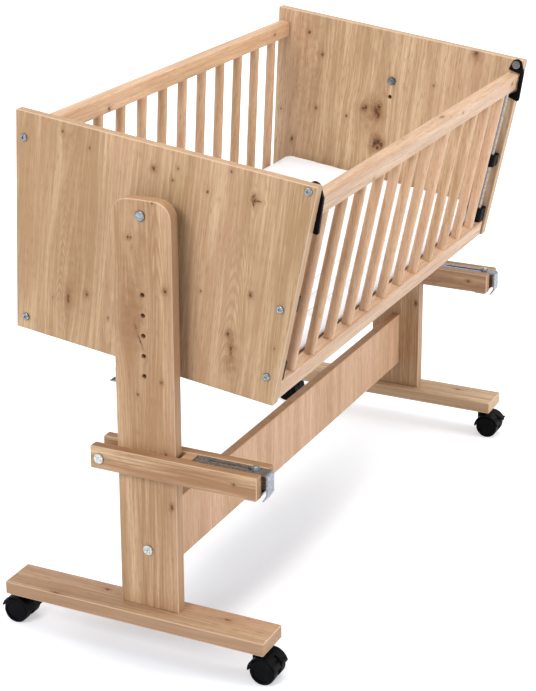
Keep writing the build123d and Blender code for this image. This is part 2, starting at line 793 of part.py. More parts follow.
bar_places = [((number - (bar_count - 1) / 2) * bar_pitch, 0) for number in range(bar_count)]
rod_places = [(way * rod_x, 0) for way in ends.values()]

rear_top_rail = build_rail(top_rail_along, rear, inner_length)
rear_top_rail.part.label = "rear_top_rail"
export_step(rear_top_rail.part, "parts/rear_top_rail.step")

rear_bottom_rail = build_rail(0, rear, inner_length)
rear_bottom_rail.part.label = "rear_bottom_rail"
export_step(rear_bottom_rail.part, "parts/rear_bottom_rail.step")

rear_bars = build_bars(rear, bar_places, bar_diameter)
rear_bars.part.label = "rear_bars"
export_step(rear_bars.part, "parts/rear_bars.step")

with BuildPart() as panel_bolts:
    for way in ends.values():
        every_place = rail_bolt_places + clip_bolt_places + [catch_bolt_place]
        with BuildSketch(cradle_section(way * panel_out)):
            with Locations(*every_place):
                Circle(panel_bolt_head / 2)
        extrude(amount=way * panel_bolt_head_height)
        outermost = 0 if way < 0 else -1
        fillet(
            panel_bolts.edges().filter_by(GeomType.CIRCLE).group_by(Axis.X)[outermost], panel_bolt_head_round
        )
        with BuildSketch(cradle_section(way * panel_out)):
            with Locations(*rail_bolt_places):
                Circle(panel_bolt_diameter / 2)
        extrude(amount=-way * (panel_thick + rail_bolt_depth - bar_end_clearance))
        with BuildSketch(cradle_section(way * panel_out)):
            with Locations(*clip_bolt_places):
                Circle(panel_bolt_diameter / 2)
        extrude(amount=-way * (panel_thick + clip_bolt_depth - bar_end_clearance))
        with BuildSketch(cradle_section(way * panel_out)):
            with Locations(catch_bolt_place):
                Circle(panel_bolt_diameter / 2)
        extrude(amount=-way * (panel_out - catch_near + side_clearance + catch_nut_height))
        with BuildSketch(cradle_section(way * (catch_near - side_clearance))):
            with Locations(catch_bolt_place):
                Circle(catch_nut / 2)
        extrude(amount=-way * catch_nut_height)
        with BuildSketch(cradle_section(way * (panel_out + panel_bolt_head_height))):
            with Locations(*every_place):
                RegularPolygon(socket_drive / 2, 6)
        extrude(amount=-way * socket_drive_depth, mode=Mode.SUBTRACT)
panel_bolts.part.label = "panel_bolts"
export_step(panel_bolts.part, "parts/panel_bolts.step")

# Each clip is bolted to a panel and guides a gate rod
rod_inset = rail_thick / 2
clip_radius = rod_diameter / 2 + clip_wall
clip_inward = clip_bolt_inset - rail_inset - rod_inset + panel_bolt_diameter / 2 + clip_wall
with BuildPart() as gate_clips:
    for way in ends.values():
        for along, tall, place in (
            (mid_clip_along, clip_height, clip_bolt_places[0]),
            (low_clip_along, low_clip_height, clip_bolt_places[1]),
        ):
            with BuildSketch(side_plane(front, along, rod_inset)):
                with BuildLine():
                    Polyline(
                        (way * rod_x, -clip_radius), (way * panel_in, -clip_radius),
                        (way * panel_in, clip_inward), (way * (rod_x + clip_wall), clip_inward),
                        (way * rod_x, clip_radius), (way * rod_x, -clip_radius),
                    )
                make_face()
                with Locations((way * rod_x, 0)):
                    Circle(clip_radius)
                    Circle(rod_diameter / 2 + 2 * pin_clearance, mode=Mode.SUBTRACT)
            extrude(amount=tall)
            with BuildSketch(cradle_section(way * panel_in)):
                with Locations(place):
                    Circle(panel_bolt_bore)
            extrude(amount=-way * clip_bolt_depth, mode=Mode.SUBTRACT)
gate_clips.part.label = "gate_clips"
export_step(gate_clips.part, "parts/gate_clips.step")

# The base rests on a cleat at each end, level with the panels' bottom edges
slat_base = panel_bottom + cleat_height
slat_spacing = (cleat_length - slat_width) / (slat_count - 1)
with BuildPart() as base_cleats:
    with BuildSketch(cradle_level(panel_bottom)):
        with GridLocations(inner_length - cleat_width, 0, 2, 1):
            Rectangle(cleat_width, cleat_length)
    extrude(amount=cleat_height)
base_cleats.part.label = "base_cleats"
export_step(base_cleats.part, "parts/base_cleats.step")

with BuildPart() as base_batten:
    with BuildSketch(cradle_level(panel_bottom)):
        Rectangle(batten_width, cleat_length)
    extrude(amount=cleat_height)
base_batten.part.label = "base_batten"
export_step(base_batten.part, "parts/base_batten.step")

with BuildPart() as base_slats:
    with BuildSketch(cradle_level(slat_base)):
        with GridLocations(0, slat_spacing, 1, slat_count):
            Rectangle(inner_length - 2 * bar_end_clearance, slat_width)
    extrude(amount=slat_thick)
base_slats.part.label = "base_slats"
export_step(base_slats.part, "parts/base_slats.step")

# The mattress rises a little to its middle and its sides are drawn in halfway up
mattress_z = slat_base + slat_thick + soft_clearance
mattress_rings = [
    (0, mattress_edge),
    (mattress_edge, 0),
    (mattress_thick / 2, mattress_waist),
    (mattress_thick - mattress_crown - mattress_edge, 0),
    (mattress_thick - mattress_crown, mattress_edge),
    (mattress_thick, mattress_dome),
]
with BuildPart() as mattress:
    for height, inset in mattress_rings:
        with BuildSketch(cradle_level(mattress_z + height)):
            RectangleRounded(mattress_length - 2 * inset, mattress_width - 2 * inset, mattress_corner)
    loft(ruled=True)
mattress.part.label = "mattress"
export_step(mattress.part, "parts/mattress.step")

# Gate: the same rails and bars, a little shorter, with a guide rod at each end
gate_top_rail = build_rail(top_rail_along, front, gate_length)
gate_top_rail.part.label = "gate_top_rail"
export_step(gate_top_rail.part, "parts/gate_top_rail.step")

gate_bottom_rail = build_rail(0, front, gate_length)
gate_bottom_rail.part.label = "gate_bottom_rail"
export_step(gate_bottom_rail.part, "parts/gate_bottom_rail.step")

gate_bars = build_bars(front, bar_places, bar_diameter)
gate_bars.part.label = "gate_bars"
export_step(gate_bars.part, "parts/gate_bars.step")

gate_rods = build_bars(front, rod_places, rod_diameter)
gate_rods.part.label = "gate_rods"
export_step(gate_rods.part, "parts/gate_rods.step")

# A catch hangs from its bolt in the gap at each end of the gate, over the top rail, and hooks under it
catch_y, catch_z = catch_bolt_place
rail_low_z = rail_top_z - rail_width
head_round = (catch_bolt_place, catch_lobe / 2)
shoulder_round = ((spine_top_y, spine_top_z), catch_arm / 2)
tip_round = ((catch_y + catch_tip_in, catch_z - catch_tip_drop), catch_tip_round)
foot_y = spine_top_y + catch_lean
foot_round = ((foot_y, rail_low_z - catch_foot_drop), catch_arm / 2)
root_place = (foot_y + catch_arm / 2 - catch_nose_round, rail_low_z - catch_gap - catch_nose_round)
root_round = (root_place, catch_nose_round)
nose_round = ((foot_y + catch_nose, rail_low_z - catch_nose_drop), catch_nose_round)
catch_webs = [
    (head_round, shoulder_round, tip_round),
    (shoulder_round, foot_round),
    (foot_round, root_round, nose_round),
]
for end, way in ends.items():
    with BuildPart() as catch:
        for web in catch_webs:
            with BuildSketch(cradle_section(way * catch_near)):
                for place, radius in web:
                    with Locations(place):
                        Circle(radius)
                make_hull()
            extrude(amount=way * catch_thick)
        with BuildSketch(cradle_section(way * catch_near)):
            with Locations(catch_bolt_place):
                Circle(catch_bore)
        extrude(amount=way * catch_thick, mode=Mode.SUBTRACT)
    catch.part.label = f"gate_catch_{end}"
    export_step(catch.part, f"parts/gate_catch_{end}.step")
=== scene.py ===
"""Bedside crib: the finishes, the mattress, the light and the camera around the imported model.

The model is in metres: +X runs along the crib, the side with the sliding gate faces -Y and +Z is up.
The cradle hangs a little tilted from the two pivot bolts, and its boards are dressed in its own frame.
"""

import json
import logging
from collections.abc import Callable
from dataclasses import dataclass, replace
from enum import Enum, IntEnum
from functools import partial
from math import cos, radians, sin, tau

import bpy
import numpy as np
from mathutils import Matrix, Vector


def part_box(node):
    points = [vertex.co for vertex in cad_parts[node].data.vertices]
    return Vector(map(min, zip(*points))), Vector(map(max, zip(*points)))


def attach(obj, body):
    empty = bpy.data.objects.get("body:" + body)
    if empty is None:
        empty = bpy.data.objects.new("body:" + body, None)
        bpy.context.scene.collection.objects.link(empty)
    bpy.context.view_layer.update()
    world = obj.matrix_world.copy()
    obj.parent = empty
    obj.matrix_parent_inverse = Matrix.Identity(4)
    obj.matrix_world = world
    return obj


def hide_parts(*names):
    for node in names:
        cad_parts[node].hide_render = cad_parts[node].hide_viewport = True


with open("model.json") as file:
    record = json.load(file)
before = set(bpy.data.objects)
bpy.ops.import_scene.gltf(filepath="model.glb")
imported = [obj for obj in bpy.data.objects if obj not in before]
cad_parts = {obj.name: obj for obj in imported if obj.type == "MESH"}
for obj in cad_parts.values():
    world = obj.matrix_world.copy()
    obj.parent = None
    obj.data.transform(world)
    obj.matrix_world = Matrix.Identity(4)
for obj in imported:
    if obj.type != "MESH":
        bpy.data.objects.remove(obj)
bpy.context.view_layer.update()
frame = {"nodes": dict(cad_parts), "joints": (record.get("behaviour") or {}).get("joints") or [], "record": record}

log = logging.getLogger("crib")
MM = 0.001
Socket = bpy.types.NodeSocket
Material = bpy.types.Material
AddNode = Callable[..., Socket]

# A Mix node of colours: input 0 is the share, 6 and 7 are the two colours, and output 2 is their mix.
MIX = {"out": 2, "data_type": "RGBA"}


def linear(hex_colour: str) -> tuple[float, float, float, float]:
    """Turns an sRGB hex colour into the linear colour that a shader reads.

    Args:
        hex_colour: six hex digits, such as "c39f7c".

    Returns:
        The linear red, green and blue, and an alpha of 1.
    """
    srgb = [int(hex_colour[i : i + 2], 16) / 255 for i in (0, 2, 4)]
    rgb = [c / 12.92 if c <= 0.04045 else ((c + 0.055) / 1.055) ** 2.4 for c in srgb]
    return rgb[0], rgb[1], rgb[2], 1.0


def add_node(tree: bpy.types.NodeTree, kind: str, inputs: dict | None = None, out: int | str = 0,
             **settings: object) -> Socket | bpy.types.Node:
    """Adds one node with its settings, values and links.

    Args:
        tree: the node tree of a material or of the world.
        kind: the node's type, without its "ShaderNode".
        inputs: for each input's name or number, the value to set or the output socket to link.
        out: the name or number of the output to return.
        settings: the node's own properties.

    Returns:
        The chosen output socket, or the node itself where it has no output.
    """
    node = tree.nodes.new("ShaderNode" + kind)
    for key, value in settings.items():
        setattr(node, key, value)
    for socket, value in (inputs or {}).items():
        if isinstance(value, Socket):
            tree.links.new(value, node.inputs[socket])
        else:
            node.inputs[socket].default_value = value
    return node.outputs[out] if len(node.outputs) else node


def new_material(name: str) -> tuple[Material, AddNode]:
    """Makes an empty node material.

    Args:
        name: the material's name.

    Returns:
        The material, and add_node for its node tree.
    """
    material = bpy.data.materials.new(name)
    material.use_nodes = True
    material.node_tree.nodes.clear()
    return material, partial(add_node, material.node_tree)


def per_metre(size_mm: float) -> float:
    """The scale of a pattern whose cells are that many millimetres wide."""
    return 1 / (size_mm * MM)


@dataclass(frozen=True)
class Ramp:
    """How a value turns into another: low where it starts, high where it ends, and straight between them."""

    starts: float
    ends: float
    low: float = 0.0
    high: float = 1.0

    def of(self, value: Socket) -> dict[str, Socket | float]:
        """The inputs of a MapRange node that turns a value so."""
        given = {"Value": value, "From Min": self.starts, "From Max": self.ends}
        return given | {"To Min": self.low, "To Max": self.high}


@dataclass(frozen=True)
class Noise:
    """A noise: how many millimetres wide its cells are, and how many finer layers lie on it."""

    size_mm: float
    detail: int

    def of(self, place: Socket) -> dict[str, Socket | float]:
        """The inputs of a TexNoise node that reads the place."""
        return {"Vector": place, "Scale": per_metre(self.size_mm), "Detail": self.detail}


class Axis(IntEnum):
    """An axis of the model, as an index into a place or a box's corner."""

    X = 0
    Y = 1
    Z = 2


class End(Enum):
    """The crib's ends: the near one, which faces -X, and the far one."""

    NEAR = "near"
    FAR = "far"


class Grain(Enum):
    """How a board stands: the direction across its face, and the direction of its grain."""

    UP_FACING_X = ((0.0, 1.0, 0.0), (0.0, 0.0, 1.0))
    UP_FACING_Y = ((1.0, 0.0, 0.0), (0.0, 0.0, 1.0))
    LONG_X = ((0.0, 1.0, 0.0), (1.0, 0.0, 0.0))
    LONG_Y_FACING_X = ((0.0, 0.0, 1.0), (0.0, 1.0, 0.0))
    LONG_Y_FACING_Z = ((1.0, 0.0, 0.0), (0.0, 1.0, 0.0))


@dataclass(frozen=True)
class BoardFrame:
    """The frame that a board's pattern is drawn in: across its face, through it, and along the grain."""

    origin: Vector
    grain: Grain
    tilt: float = 0.0

    def place(self, add: AddNode) -> Socket:
        """Adds the nodes that turn Object coordinates into this frame.

        Args:
            add: adds a node to the material.

        Returns:
            A vector socket: metres across the face, through the board and along the grain.
        """
        lean = Matrix.Rotation(self.tilt, 3, "X")
        across, along = (lean @ Vector(way) for way in self.grain.value)
        turn = Matrix((across, along.cross(across), along)).transposed()
        here = add("TexCoord", out="Object")
        settings = {"Vector": here, "Location": self.origin, "Rotation": turn.to_euler("XYZ")}
        return add("Mapping", settings, vector_type="TEXTURE")


@dataclass(frozen=True)
class Knot:
    """A knot, crack or stain in the wood.

    Its place, half width and height are in millimetres, and it leans by turn degrees. The stretch draws it
    out along the grain, core is how dark its middle is, and halo how brown the wood is round it. With no
    height it goes through the board, else it is a ball at that height through it.
    """

    across: float
    along: float
    size: float
    stretch: float = 1.3
    core: float = 1.0
    halo: float = 0.35
    turn: float = 0.0
    height: float | None = None


@dataclass(frozen=True)
class Arch:
    """Pointed arches of figure, as a plain-sawn board shows them, in millimetres.

    They stand over the line across, one pitch apart with one apex at along, and fade out half to each side
    and past the lowest and highest place. The spread is small where the arches are slender.
    """

    across: float
    along: float
    spread: float
    pitch: float
    half: float
    lowest: float
    highest: float


@dataclass(frozen=True)
class ToneWeights:
    """How much each layer darkens the oak, the shift that centres their sum, and the tone in the middle."""

    streak: float = 1.7
    fine: float = 1.35
    ring: float = 0.2
    arch: float = 0.45
    shift: float = -1.25
    middle: float = 0.42


@dataclass(frozen=True)
class Oak:
    """Oak, as veneered boards or solid rails, brushed and clear lacquered.

    The eye gets a sandy brown with streaks along the grain, arches of figure, small dark pores, and brown
    knots with black cracks. A board's edges are banded, with a pale line on its rounded corners: partly the
    paler sanded wood, and partly a painted highlight where the rounding catches light.
    Real pores are too fine to show, so they are drawn about three times as coarse.

    The seed shifts the noise, so that no two boards look alike. A noise's size is that of its cells across
    the grain, and a draw is how much more slowly it changes along the grain. The scattered knots
    stand one to a cell: bare is the share of cells with none, and knot_least and knot_reach are the smallest
    and the largest one's size in cells.
    The ramps of knots and stains go by the distance in knot sizes, rim and edge by the millimetres below a
    board's face, the ring's by the share of the ring, and the others by their noise.
    """

    name: str
    seed: float = 0.0
    pale: str = "d5b792"
    dark: str = "a5835f"
    blush: str = "c99f84"
    figure: str = "8f6a48"
    band: str = "bb9879"
    # corner: the pale line on the rounded corners, partly sanded wood and partly a painted highlight.
    corner: str = "ccb097"
    knot_brown: str = "865c3a"
    knot_core: str = "3b2315"
    streak: Noise = Noise(21.0, 3)
    fine: Noise = Noise(2.8, 2)
    pore: Noise = Noise(1.1, 0)
    slow: Noise = Noise(111.11, 1)
    patchy: Noise = Noise(11.11, 3)
    ragged: Noise = Noise(3.846, 2)
    streak_draw: float = 0.06
    fine_draw: float = 0.025
    seed_shift: tuple[float, float, float] = (1.0, 1.7, 0.6)
    rings: float = 30.0
    ring_rise: Ramp = Ramp(0.35, 0.9)
    ring_fall: Ramp = Ramp(1.0, 0.9)
    weights: ToneWeights = ToneWeights()
    contrast: float = 1.0
    pore_ramp: Ramp = Ramp(0.6, 0.72, high=0.45)
    blush_ramp: Ramp = Ramp(0.4, 0.7, high=0.6)
    arch_wobble: float = 2.4
    arch_full: tuple[float, float] = (0.2, 0.7)
    knot_cell_mm: float = 95.0
    knot_cell_shares: tuple[float, float] = (2.0, 0.55)
    bare: float = 0.6
    knot_least: float = 0.0001
    knot_reach: float = 0.05
    scattered: float = 1.0
    knot_fall: float = 0.16
    knot_pull: float = 0.65
    knot_ragged: float = 1.6
    knot_ring: Ramp = Ramp(2.5, 1.1, high=0.85)
    knot_middle: Ramp = Ramp(1.55, 0.95, high=0.95)
    stain_ramp: Ramp = Ramp(4.0, 0.5, high=0.3)
    patchy_ramp: Ramp = Ramp(0.3, 0.7, 0.45, 1.3)
    rim_highlight_ramp: Ramp = Ramp(0.1, 0.7, high=0.8)
    edge_ramp: Ramp = Ramp(1.5, 2.1)
    roughness: float = 0.5
    rougher: tuple[float, float] = (-0.06, 0.1)
    pore_depth: float = 1.5
    relief: float = 0.25
    relief_mm: float = 0.25
    lacquer_ior: float = 1.47
    lacquer_shine: float = 0.35

    def dress(self, board: BoardFrame, half_depth: float | None = None, knots: tuple[Knot, ...] = (),
              arches: tuple[Arch, ...] = ()) -> Material:
        """Makes the oak of one board, rail or set of bars.

        Args:
            board: the frame that the pattern is drawn in.
            half_depth: half a board's thickness in metres, or None for wood without banded edges.
            knots: the knots that stand at chosen places.
            arches: the arches at chosen places.

        Returns:
            The material.
        """
        material, add = new_material(self.name)
        place = board.place(add)
        grain, nearest, stain = self.knot_field(add, place, knots, half_depth is None)
        shift = tuple(self.seed * share for share in self.seed_shift)
        grain = add("VectorMath", {0: grain, 1: shift}, operation="ADD")
        long_grain, fine_grain = (
            add("VectorMath", {0: grain, 1: (1, 1, draw)}, operation="MULTIPLY")
            for draw in (self.streak_draw, self.fine_draw)
        )
        fine = add("TexNoise", self.fine.of(fine_grain))
        slow = add("TexNoise", self.slow.of(long_grain))
        pores = add("TexNoise", self.pore.of(long_grain))
        pores = add("MapRange", self.pore_ramp.of(pores))
        tone = self.tone(add, place, long_grain, fine, slow, arches)
        warm = add("MapRange", self.blush_ramp.of(slow))
        brown, pinkish = (
            add("Mix", {0: tone, 6: linear(self.pale), 7: linear(hue)}, **MIX)
            for hue in (self.dark, self.blush)
        )
        colour = add("Mix", {0: warm, 6: brown, 7: pinkish}, **MIX)
        for mark in (pores, stain):
            colour = add("Mix", {0: mark, 6: colour, 7: linear(self.figure)}, **MIX)
        colour = self.knot_colour(add, place, nearest, colour)
        if half_depth is not None:
            colour = self.banded(add, place, half_depth, tone, colour)
        smoothest, roughest = (self.roughness + more for more in self.rougher)
        rough = Ramp(0.0, 1.0, smoothest, roughest).of(fine)
        height = add("Math", {0: pores, 1: -self.pore_depth, 2: fine}, operation="MULTIPLY_ADD")
        bump = {"Strength": self.relief, "Distance": self.relief_mm * MM, "Height": height}
        surface = add("BsdfPrincipled", {
            "Base Color": colour,
            "Roughness": add("MapRange", rough),
            "Normal": add("Bump", bump),
            "IOR": self.lacquer_ior,
            "Specular IOR Level": self.lacquer_shine,
        })
        add("OutputMaterial", {"Surface": surface})
        return material

    def tone(self, add: AddNode, place: Socket, grain: Socket, fine: Socket, slow: Socket,
             arches: tuple[Arch, ...]) -> Socket:
        """Adds up how dark the wood is: each layer times its weight, shifted, times the contrast.

        The streaks are noise drawn out along the grain, and the rings are contour lines of a slower noise.

        Args:
            add: adds a node to the material.
            place: the place in the board's frame.
            grain: that place, bent round the knots and drawn out along the grain.
            fine: the noise of the fine lines.
            slow: the slow noise.
            arches: the arches at chosen places.

        Returns:
            The tone, from 0 where the wood is pale to 1 where it is dark.
        """
        rings = add("Math", {0: slow, 1: self.rings}, operation="MULTIPLY")
        layers = [
            (add("TexNoise", self.streak.of(grain)), self.weights.streak),
            (fine, self.weights.fine),
            (self.late_wood(add, rings), self.weights.ring),
        ]
        layers += [(self.arch_lines(add, place, slow, arch), self.weights.arch) for arch in arches]
        tone = self.weights.shift
        for layer, weight in layers:
            tone = add("Math", {0: layer, 1: weight, 2: tone}, operation="MULTIPLY_ADD")
        scaled = {0: tone, 1: self.contrast, 2: self.weights.middle}
        return add("Math", scaled, operation="MULTIPLY_ADD", use_clamp=True)

    def banded(self, add: AddNode, place: Socket, half_depth: float, tone: Socket, colour: Socket) -> Socket:
        """Paints a board's banded edges, and the pale line of its rounded corners, partly sanded wood and partly a
        painted highlight.

        Both go by how many millimetres a place lies below the nearer face.

        Args:
            add: adds a node to the material.
            place: the place in the board's frame.
            half_depth: half the board's thickness in metres.
            tone: how dark the wood is.
            colour: the colour of the board's faces.

        Returns:
            The colour with the edges.
        """
        depth = add("SeparateXYZ", {0: place}, out="Y")
        depth = add("Math", {0: depth}, operation="ABSOLUTE")
        below = add("Math", {0: depth, 1: -1 / MM, 2: half_depth / MM}, operation="MULTIPLY_ADD")
        pale_rim_and_highlight, band = (add("MapRange", ramp.of(below)) for ramp in (self.rim_highlight_ramp, self.edge_ramp))
        banding = add("Mix", {0: tone, 6: linear(self.band), 7: linear(self.dark)}, **MIX)
        # The pale corner line: partly sanded wood, partly a painted highlight where the rounding catches light.
        colour = add("Mix", {0: pale_rim_and_highlight, 6: colour, 7: linear(self.corner)}, **MIX)
        return add("Mix", {0: band, 6: colour, 7: banding}, **MIX)

    def late_wood(self, add: AddNode, phase: Socket) -> Socket:
        """Turns a rising phase into growth rings: each darkens slowly, then ends at a sharp pale line.

        Args:
            add: adds a node to the material.
            phase: the number of rings up to here.

        Returns:
            How dark the ring is, from 0 to 1.
        """
        part = add("Math", {0: phase}, operation="FRACT")
        rise = add("MapRange", self.ring_rise.of(part), interpolation_type="SMOOTHSTEP")
        fall = add("MapRange", self.ring_fall.of(part))
        return add("Math", {0: rise, 1: fall}, operation="MULTIPLY")

    def arch_lines(self, add: AddNode, place: Socket, slow: Socket, arch: Arch) -> Socket:
        """Draws arches: the contour lines of along + across * across / spread, a little disturbed.

        Args:
            add: adds a node to the material.
            place: the place in the board's frame.
            slow: a slow noise that disturbs the lines.
            arch: where the arches stand.

        Returns:
            How dark the figure is.
        """
        centre = (arch.across * MM, 0.0, arch.along * MM)
        offset = add("VectorMath", {0: place, 1: centre}, operation="SUBTRACT")
        across, _, along = add("SeparateXYZ", {0: offset}).node.outputs
        square = add("Math", {0: across, 1: across}, operation="MULTIPLY")
        climb = add("Math", {0: square, 1: per_metre(arch.spread), 2: along}, operation="MULTIPLY_ADD")
        wobble = add("Math", {0: slow, 1: self.arch_wobble}, operation="MULTIPLY")
        phase = {0: climb, 1: per_metre(arch.pitch), 2: wobble}
        lines = self.late_wood(add, add("Math", phase, operation="MULTIPLY_ADD"))
        full_wide, full_tall = self.arch_full
        half_square = (arch.half * MM) ** 2
        wide = add("MapRange", Ramp(half_square, half_square * full_wide).of(square))
        middle_mm = (arch.lowest + arch.highest) / 2 - arch.along
        reach = (arch.highest - arch.lowest) / 2 * MM
        away = add("Math", {0: along, 1: middle_mm * MM}, operation="SUBTRACT")
        away = add("Math", {0: away}, operation="ABSOLUTE")
        tall = add("MapRange", Ramp(reach, reach * full_tall).of(away))
        lines = add("Math", {0: lines, 1: wide}, operation="MULTIPLY")
        return add("Math", {0: lines, 1: tall}, operation="MULTIPLY")

    def knot_field(self, add: AddNode, place: Socket, knots: tuple[Knot, ...],
                   solid: bool) -> tuple[Socket, Socket, Socket]:
        """Bends the grain round the knots, and stains it.

        A knot pulls the grain aside by exp(-fall * d * d), where d is the distance from it in knot sizes.

        Args:
            add: adds a node to the material.
            place: the place in the board's frame.
            knots: the knots at chosen places.
            solid: whether the scattered knots are balls in the wood, instead of going through a board.

        Returns:
            The bent place, the distance from the nearest knot in knot sizes, and how stained the wood is.
        """
        cell = per_metre(self.knot_cell_mm)
        through, along = self.knot_cell_shares
        shares = (cell, cell * through if solid else 0.0, cell * along)
        flat = add("VectorMath", {0: place, 1: shares}, operation="MULTIPLY")
        cells = add("TexVoronoi", {"Vector": flat, "Scale": 1.0}).node.outputs
        pick = add("SeparateColor", {0: cells["Color"]}, out="Red")
        size = Ramp(self.bare, 1.0, self.knot_least, self.knot_reach * self.scattered)
        size = add("MapRange", size.of(pick))
        nearest = add("Math", {0: cells["Distance"], 1: size}, operation="DIVIDE")
        stain = add("MapRange", self.stain_ramp.of(nearest))
        grain = place
        for knot in knots:
            wide = per_metre(knot.size)
            spot = (knot.across * MM, (knot.height or 0.0) * MM, knot.along * MM)
            offset = add("VectorMath", {0: place, 1: spot}, operation="SUBTRACT")
            turned = offset
            if knot.turn:
                turned = add("VectorRotate", {
                    "Vector": offset, "Angle": radians(knot.turn),
                }, rotation_type="Y_AXIS")
            shares = (wide, 0.0 if knot.height is None else wide, wide / knot.stretch)
            scaled = add("VectorMath", {0: turned, 1: shares}, operation="MULTIPLY")
            away = add("VectorMath", {0: scaled}, out="Value", operation="LENGTH")
            if knot.core:
                seen = add("Math", {0: away, 1: knot.core}, operation="DIVIDE")
                nearest = add("Math", {0: nearest, 1: seen}, operation="MINIMUM")
            square = add("Math", {0: away, 1: away}, operation="MULTIPLY")
            fall = add("Math", {0: square, 1: -self.knot_fall}, operation="MULTIPLY")
            near = add("Math", {0: fall}, operation="EXPONENT")
            aside = add("VectorMath", {0: offset, "Scale": near}, operation="SCALE")
            grain = add("VectorMath", {
                0: aside, 1: (-self.knot_pull, 0.0, 0.0), 2: grain,
            }, operation="MULTIPLY_ADD")
            stain = add("Math", {0: near, 1: knot.halo, 2: stain}, operation="MULTIPLY_ADD")
        patchy = add("TexNoise", self.patchy.of(place))
        patchy = add("MapRange", self.patchy_ramp.of(patchy))
        stain = add("Math", {0: stain, 1: patchy}, operation="MULTIPLY", use_clamp=True)
        return grain, nearest, stain

    def knot_colour(self, add: AddNode, place: Socket, nearest: Socket, colour: Socket) -> Socket:
        """Paints the knots: a ragged brown ring and a dark core.

        Args:
            add: adds a node to the material.
            place: the place in the board's frame.
            nearest: the distance from the nearest knot in knot sizes.
            colour: the wood's colour without knots.

        Returns:
            The colour with the knots.
        """
        ragged = add("TexNoise", self.ragged.of(place))
        ragged = {0: ragged, 1: self.knot_ragged, 2: nearest}
        ragged = add("Math", ragged, operation="MULTIPLY_ADD")
        for ramp, hue in ((self.knot_ring, self.knot_brown), (self.knot_middle, self.knot_core)):
            share = add("MapRange", ramp.of(ragged))
            colour = add("Mix", {0: share, 6: colour, 7: linear(hue)}, **MIX)
        return colour


@dataclass(frozen=True)
class SmoothFinish:
    """A metal or a moulded plastic: two colours in soft patches, and a fine texture in relief.

    The texture is drawn as coarse as it needs to show. The roughness goes from the first to the second
    number, by the patches on a metal and by the texture on a plastic.
    """

    name: str
    colour: str
    patch_colour: str
    roughness: tuple[float, float]
    patch: Noise
    patch_ramp: Ramp
    texture: Noise
    relief: float
    relief_mm: float
    metallic: float = 0.0
    shine: float = 0.5

    def dress(self) -> Material:
        """Makes the metal or plastic.

        Returns:
            The material.
        """
        material, add = new_material(self.name)
        here = add("TexCoord", out="Object")
        patch = add("TexNoise", self.patch.of(here))
        patch = add("MapRange", self.patch_ramp.of(patch))
        texture = add("TexNoise", self.texture.of(here))
        rough = Ramp(0.0, 1.0, *self.roughness).of(patch if self.metallic else texture)
        bump = {"Strength": self.relief, "Distance": self.relief_mm * MM, "Height": texture}
        surface = add("BsdfPrincipled", {
            "Base Color": add("Mix", {0: patch, 6: linear(self.colour), 7: linear(self.patch_colour)}, **MIX),
            "Metallic": self.metallic,
            "Roughness": add("MapRange", rough),
            "Normal": add("Bump", bump),
            "Specular IOR Level": self.shine,
        })
        add("OutputMaterial", {"Surface": surface})
        return material


# Zinc plated steel: a pale bluish metal with soft cloudy patches and a fine brushing.
ZINC_PLATE = SmoothFinish(
    "zinc_plate", "989c9f", "62676b", (0.24, 0.38), Noise(4.0, 3), Ramp(0.3, 0.7), Noise(0.4, 1),
    relief=0.12, relief_mm=0.05, metallic=1.0,
)
# Moulded nylon: nearly black, a little scuffed, with the matt texture of the mould.
BLACK_NYLON = SmoothFinish(
    "black_nylon", "0a0a0c", "161618", (0.37, 0.53), Noise(16.67, 4), Ramp(0.45, 0.75, high=0.6),
    Noise(0.8, 2), relief=0.3, relief_mm=0.1, shine=0.05,
)


